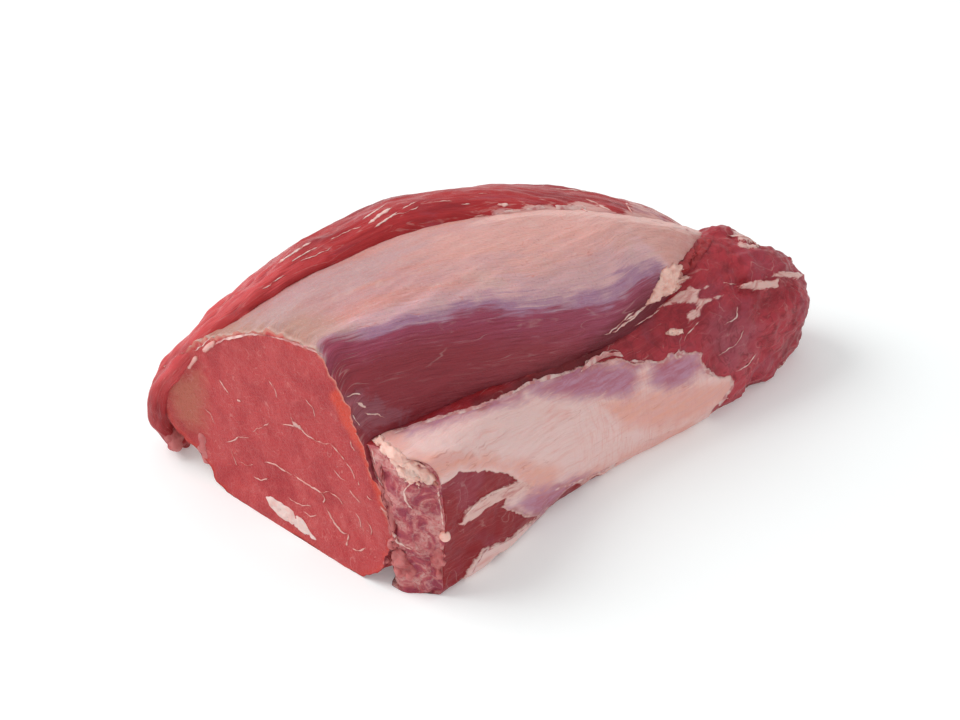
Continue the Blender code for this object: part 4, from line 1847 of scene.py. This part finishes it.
def joined(name: str, meshes: list[bpy.types.Mesh], materials: list[bpy.types.Material]) -> bpy.types.Object:
    """One piece made of several closed skins.

    Args:
        name: the piece's name.
        meshes: its skins, which are used up.
        materials: its finishes.

    Returns:
        The piece.
    """
    bm = bmesh.new()
    for part in meshes:
        bm.from_mesh(part)
        bpy.data.meshes.remove(part)
    mesh = bpy.data.meshes.new(name)
    bm.to_mesh(mesh)
    bm.free()
    for material in materials:
        mesh.materials.append(material)
    mesh.shade_smooth()
    piece = bpy.data.objects.new(name, mesh)
    bpy.context.scene.collection.objects.link(piece)
    return piece


@dataclass(frozen=True)
class Detail:
    """A piece of small things that lie on the flesh, all with one finish."""

    name: str
    finish: Fat
    parts: tuple[Strand | Pad | Fringe | Glob, ...]

    def build(self, carver: Carver) -> bpy.types.Object:
        """Lays the parts on the flesh."""
        return joined(self.name, [part.mesh(carver) for part in self.parts], [self.finish.material()])


MARBLING = Detail("marbling", Fat("marbling fat", (0.74, 0.40, 0.36), (0.58, 0.17, 0.15)), (
    Strand(((219, 379), (224, 386), (230, 394)), 0.57),
    Strand(((237, 400), (241, 402)), 0.74),
    Strand(((291, 416), (293, 422), (300, 429), (312, 438), (321, 443), (330, 443)), 0.61),
    Strand(((330, 443), (339, 452), (345, 461)), 0.49),
    Strand(((292, 421), (297, 426), (303, 431)), 1.8),
    Strand(((281, 424), (291, 425), (302, 427)), 0.41),
    Strand(((227, 443), (239, 437), (250, 438)), 0.33, 0.15),
    Strand(((252, 432), (261, 427), (270, 422)), 0.33, 0.15),
    Strand(((231, 448), (234, 460), (238, 466)), 0.29, 0.15),
    Strand(((264, 462), (273, 463), (282, 469), (293, 475)), 0.53),
    Strand(((293, 475), (305, 482), (321, 492), (330, 492)), 0.57),
    Strand(((321, 492), (325, 497), (324, 504)), 0.41),
    Strand(((330, 492), (338, 497), (343, 505)), 0.49),
    Strand(((326, 506), (332, 518), (341, 531), (348, 534)), 0.61),
    Strand(((348, 533), (349, 539), (346, 546)), 0.9),
    Strand(((349, 490), (355, 497), (362, 504)), 0.45),
    Strand(((366, 495), (371, 501), (373, 500)), 0.41),
    Strand(((359, 481), (360, 486)), 0.41),
    Strand(((350, 440), (352, 447), (356, 451)), 0.41),
    Strand(((345, 462), (352, 470), (355, 480)), 0.33, 0.15),
    Strand(((333, 470), (341, 478), (347, 482)), 0.29, 0.15),
    Strand(((253, 477), (261, 480), (268, 478)), 0.45),
    Strand(((288, 497), (300, 505), (312, 506)), 0.33, 0.15),
    Strand(((303, 512), (310, 516), (318, 515)), 0.29, 0.15),
    Strand(((352, 548), (360, 552), (366, 548)), 0.49),
    Strand(((366, 520), (372, 528), (371, 536)), 0.41),
    Strand(((355, 512), (360, 520), (362, 530)), 0.29, 0.15),
    Strand(((380, 506), (386, 510), (387, 517)), 1.31, 0.5),
    Strand(((240, 462), (247, 466), (254, 464)), 0.29, 0.15),
    Strand(((205, 408), (212, 415), (214, 424)), 0.28, 0.12),
    Strand(((268, 380), (275, 389), (277, 399)), 0.28, 0.12),
    Strand(((305, 398), (313, 408), (315, 418)), 0.28, 0.12),
    Strand(((203, 352), (209, 346), (216, 341)), 2.0, 0.7, 0.4),
    Strand(((188, 369), (193, 362), (198, 356)), 1.8, 0.7, 0.4),
))

LENS = Detail("lens", Fat("white fat", (0.80, 0.60, 0.56), (0.72, 0.38, 0.34)), (
    Pad(((263, 495), (272, 496), (282, 502), (293, 510), (303, 520), (311, 531), (320, 543), (306, 536),
         (292, 526), (281, 518), (270, 508)), 0.8, 0.8, 0.45, 0),
))

SINEWS = Detail("sinews", Fat("sinew", (0.82, 0.54, 0.49)), (
    Strand(((520, 482), (508, 487), (494, 492), (482, 499), (472, 508), (462, 520)), 0.9, 0.3, 0.5),
    Strand(((412, 482), (404, 490), (406, 502), (414, 512)), 0.8, 0.3, 0.8),
    Strand(((438, 488), (440, 500), (442, 514), (444, 528)), 0.8, 0.3, 0.8),
    Strand(((372, 446), (375, 462), (379, 480), (387, 498)), 0.6, 0.3, 0.8),
    Strand(((652, 300), (640, 310), (625, 321)), 0.9, 0.3),
    Strand(((646, 306), (632, 318), (612, 333)), 0.7, 0.3),
    Strand(((634, 311), (622, 322), (604, 336)), 0.5, 0.3),
    Strand(((660, 309), (648, 318), (634, 326)), 0.5, 0.2),
    Strand(((722, 283), (730, 284), (737, 284)), 0.6, 0.2),
    Strand(((726, 235), (738, 236), (749, 238), (757, 245)), 0.8, 0.3),
    Strand(((737, 305), (737, 317), (723, 326)), 0.5, 0.15),
    Strand(((700, 322), (690, 330), (684, 342)), 0.4, 0.15),
    Strand(((745, 330), (735, 345), (718, 356)), 0.4, 0.15),
    Strand(((757, 352), (748, 365), (735, 372)), 0.5, 0.15),
    Strand(((392, 531), (396, 541), (413, 550)), 1.1, 0.4),
    Strand(((346, 397), (353, 394), (361, 395)), 0.6, 0.2),
    Strand(((355, 402), (360, 404), (366, 409)), 0.9, 0.2),
    Strand(((364, 413), (375, 414), (386, 418)), 0.5, 0.15),
    Strand(((352, 414), (356, 422), (362, 427)), 0.4, 0.15),
    Strand(((278, 264), (290, 255), (304, 247)), 1.5, 0.2, 0.8),
    Strand(((284, 260), (297, 250), (312, 242)), 1.0, 0.2, 0.8),
    Strand(((291, 262), (304, 254), (318, 247)), 0.6, 0.2, 0.8),
    Strand(((362, 220), (374, 212), (386, 204)), 0.9, 0.2, 0.8),
    Strand(((368, 224), (380, 215), (392, 207)), 1.6, 0.2, 0.8),
    Strand(((374, 228), (387, 219), (398, 212)), 0.8, 0.2, 0.8),
    Strand(((404, 197), (409, 195), (415, 193)), 0.9, 0.2),
    Strand(((402, 209), (410, 205), (419, 201)), 0.6, 0.15),
    Strand(((431, 190), (439, 189), (447, 188)), 0.9, 0.2),
    Strand(((433, 202), (443, 201), (453, 201)), 0.5, 0.15),
    Strand(((461, 205), (466, 204), (471, 204)), 0.5, 0.15),
    Strand(((478, 193), (483, 193), (488, 194)), 0.5, 0.15),
    Strand(((497, 205), (503, 204), (509, 205)), 1.6, 0.3),
    Strand(((520, 184), (532, 184), (545, 186)), 0.6, 0.15),
    Strand(((551, 189), (575, 190), (596, 193)), 0.6, 0.15),
    Strand(((585, 199), (600, 205), (612, 212)), 0.9, 0.3),
    Strand(((566, 204), (578, 207), (588, 212)), 0.9, 0.3),
    Strand(((622, 197), (627, 205), (632, 214)), 1.2, 0.3),
    Strand(((330, 240), (345, 232), (362, 226)), 0.4, 0.15),
    Strand(((300, 262), (318, 254), (334, 246)), 0.35, 0.12),
    Strand(((390, 216), (404, 213), (420, 206)), 0.35, 0.12),
    Strand(((262, 290), (274, 281), (288, 274)), 0.35, 0.12),
    Strand(((192, 352), (204, 344), (216, 332)), 0.35, 0.12),
))

TORN_SKIN = Detail("torn_skin", Fat("torn membrane", (0.80, 0.52, 0.48), (0.60, 0.22, 0.22)), (
    Fringe(((672, 356), (694, 353), (701, 356), (701, 364), (707, 373), (718, 376), (729, 378)),
           2.6, 4.0, 8.0),
    Fringe(((729, 379), (732, 387), (722, 400), (711, 411)), 3.6, 2.0, 8.0),
    Fringe(((381, 438), (400, 431), (430, 421), (460, 413), (480, 407), (498, 400)),
           1.3, 8.0, 10.0, 0.2, 7.0),
    Fringe(((498, 400), (516, 391), (528, 384), (544, 380), (559, 375), (576, 370)),
           1.5, 8.0, 10.0, 0.2, 7.0),
    Fringe(((580, 371), (590, 365), (600, 358), (612, 354), (624, 356)), 3.6, 20.0, 50.0, 0.5, 9.0),
    Fringe(((582, 368), (592, 361), (602, 353), (612, 349), (622, 351)), 2.6, 40.0, 60.0, 0.5, 7.0),
    Fringe(((628, 361), (648, 362), (661, 362), (672, 356)), 1.3, 8.0, 10.0, 0.2, 6.0),
    Fringe(((541, 495), (569, 485), (587, 478), (610, 467), (641, 453), (669, 440), (691, 428), (707, 415)),
           -1.4, 0.0, 15.0),
    Fringe(((466, 223), (482, 219), (500, 213), (527, 209), (551, 208), (576, 209), (604, 212)),
           2.0, 0.0, 4.0, 0.25, 9.0),
    Fringe(((604, 212), (631, 216), (650, 220), (675, 227), (694, 232)), 2.4, 0.0, 4.0, 0.25, 9.0),
    Fringe(((482, 582), (470, 576), (484, 552), (511, 538), (535, 520)), 1.2, 6.0, 20.0),
    Fringe(((210, 347), (226, 339), (251, 334), (284, 340), (308, 348), (328, 358)),
           -1.3, 8.0, 40.0, 0.5, 6.0),
))

FAT_LUMPS = Detail("fat_lumps", Fat("soft fat", (0.92, 0.57, 0.49), (0.76, 0.31, 0.25)), (
    Pad(((646, 305), (651, 290), (659, 280), (662, 270), (672, 264), (683, 265), (680, 275), (692, 276),
         (684, 284), (674, 293), (658, 301)), 2.2, 2.4, 2.0, 2),
    Pad(((373, 441), (381, 436), (388, 441), (396, 450), (408, 457), (421, 463), (433, 472), (438, 486),
         (430, 486), (420, 479), (408, 473), (396, 467), (386, 456)), 1.8, 1.6, 1.8, 1),
    Pad(((395, 462), (405, 466), (416, 472), (424, 480), (419, 488), (410, 483), (400, 476)),
        1.4, 1.6, 2.4, 1),
    Pad(((665, 334), (670, 329), (683, 328), (684, 333), (674, 336)), 1.1, 1.0, 0.6, 0),
    Glob((446, 537), 2.0, 1.9, 1.6),
))

SHREDS = Detail("shreds", Fat("red shreds", (0.56, 0.17, 0.165), (0.38, 0.045, 0.052)), (
    Glob((176, 440), 4.5, 3.4, 2.2, 70, 0.6, 5.0),
    Glob((203, 449), 6.5, 3.0, 2.4, 80, 0.7, 7.3),
    Glob((190, 446), 5.0, 2.6, 1.8, 80, 0.7, 9.6),
    Pad(((381, 566), (387, 552), (396, 545), (408, 556), (418, 572), (410, 583), (396, 578)),
        1.6, 2.0, 2.0, 1),
    Pad(((388, 540), (396, 534), (402, 545), (396, 552), (389, 550)), 1.2, 1.4, 1.2, 1),
    Pad(((369, 443), (376, 441), (383, 470), (391, 498), (397, 528), (392, 540), (386, 517), (379, 490),
         (372, 464)), 1.0, 1.2, 0.8, 2),
    Pad(((432, 548), (442, 545), (446, 560), (443, 578), (434, 580), (430, 562)), 1.2, 1.8, 1.5, 1),
))

LUMP_EDGE = Detail("lump_edge", Fat("lump flesh", (0.40, 0.045, 0.050), (0.27, 0.020, 0.030)), (
    Pad(((704, 234), (698, 238), (690, 247), (684, 257), (675, 267), (684, 276), (696, 268), (706, 254),
         (713, 242)), 2.2, 2.4, 0.8, 3),
))

DETAILS = (MARBLING, LENS, SINEWS, TORN_SKIN, FAT_LUMPS, SHREDS, LUMP_EDGE)


@dataclass
class Studio:
    """The white floor, the soft lights and the camera."""

    floor_size: float = 6.0
    floor_white: float = 0.91
    floor_cool: float = 0.035
    sky: float = 0.68
    key_power: float = 12.5
    key_size: float = 1.1
    key_place: Point3 = (-0.58, 0.80, 1.08)
    floor_glow: float = 0.16

    def build(self) -> None:
        """Sets up everything round the meat."""
        self._floor()
        self._lights()
        VIEW.make()
        scene = bpy.context.scene
        scene.view_settings.view_transform = "Standard"
        scene.view_settings.look = "None"

    def _floor(self) -> None:
        """A wide matt floor."""
        bm = bmesh.new()
        bmesh.ops.create_grid(bm, x_segments=1, y_segments=1, size=self.floor_size / 2)
        mesh = bpy.data.meshes.new("floor")
        bm.to_mesh(mesh)
        bm.free()
        floor = bpy.data.objects.new("floor", mesh)
        bpy.context.scene.collection.objects.link(floor)
        g = Graph("studio paper")
        white = (self.floor_white - self.floor_cool, self.floor_white, self.floor_white)
        g.shader.inputs["Emission Color"].default_value = WHITE
        g.shader.inputs["Emission Strength"].default_value = self.floor_glow
        mesh.materials.append(g.finish(white, 0.9, None, Moisture(depth_share=0.0, film=0.0, shine=0.0)))

    def _lights(self) -> None:
        """A white sky and one large soft light."""
        world = bpy.data.worlds.new("white studio")
        world.use_nodes = True
        background = world.node_tree.nodes["Background"]
        background.inputs["Color"].default_value = WHITE
        background.inputs["Strength"].default_value = self.sky
        bpy.context.scene.world = world
        data = bpy.data.lights.new("key", "AREA")
        data.shape = "DISK"
        data.size = self.key_size
        data.energy = self.key_power
        light = bpy.data.objects.new("key", data)
        bpy.context.scene.collection.objects.link(light)
        light.location = self.key_place
        light.rotation_mode = "QUATERNION"
        light.rotation_quaternion = (-Vector(self.key_place)).to_track_quat("-Z", "Y")


def main() -> None:
    """Builds the piece of meat lobe by lobe, then its veins and sinews, and lights it."""
    logging.basicConfig(level=logging.INFO, format="%(message)s")
    lobes = [MainMuscle().build(), Strap().build(), Wing().build()]
    carver = Carver(lobes)
    details = [part.build(carver) for part in DETAILS]
    for piece in (*lobes, *details):
        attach(piece, "root")
        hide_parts(NODE)
        log.info("%s: %d faces", piece.name, len(piece.data.polygons))
    Studio().build()


if __name__ == "__main__":
    main()
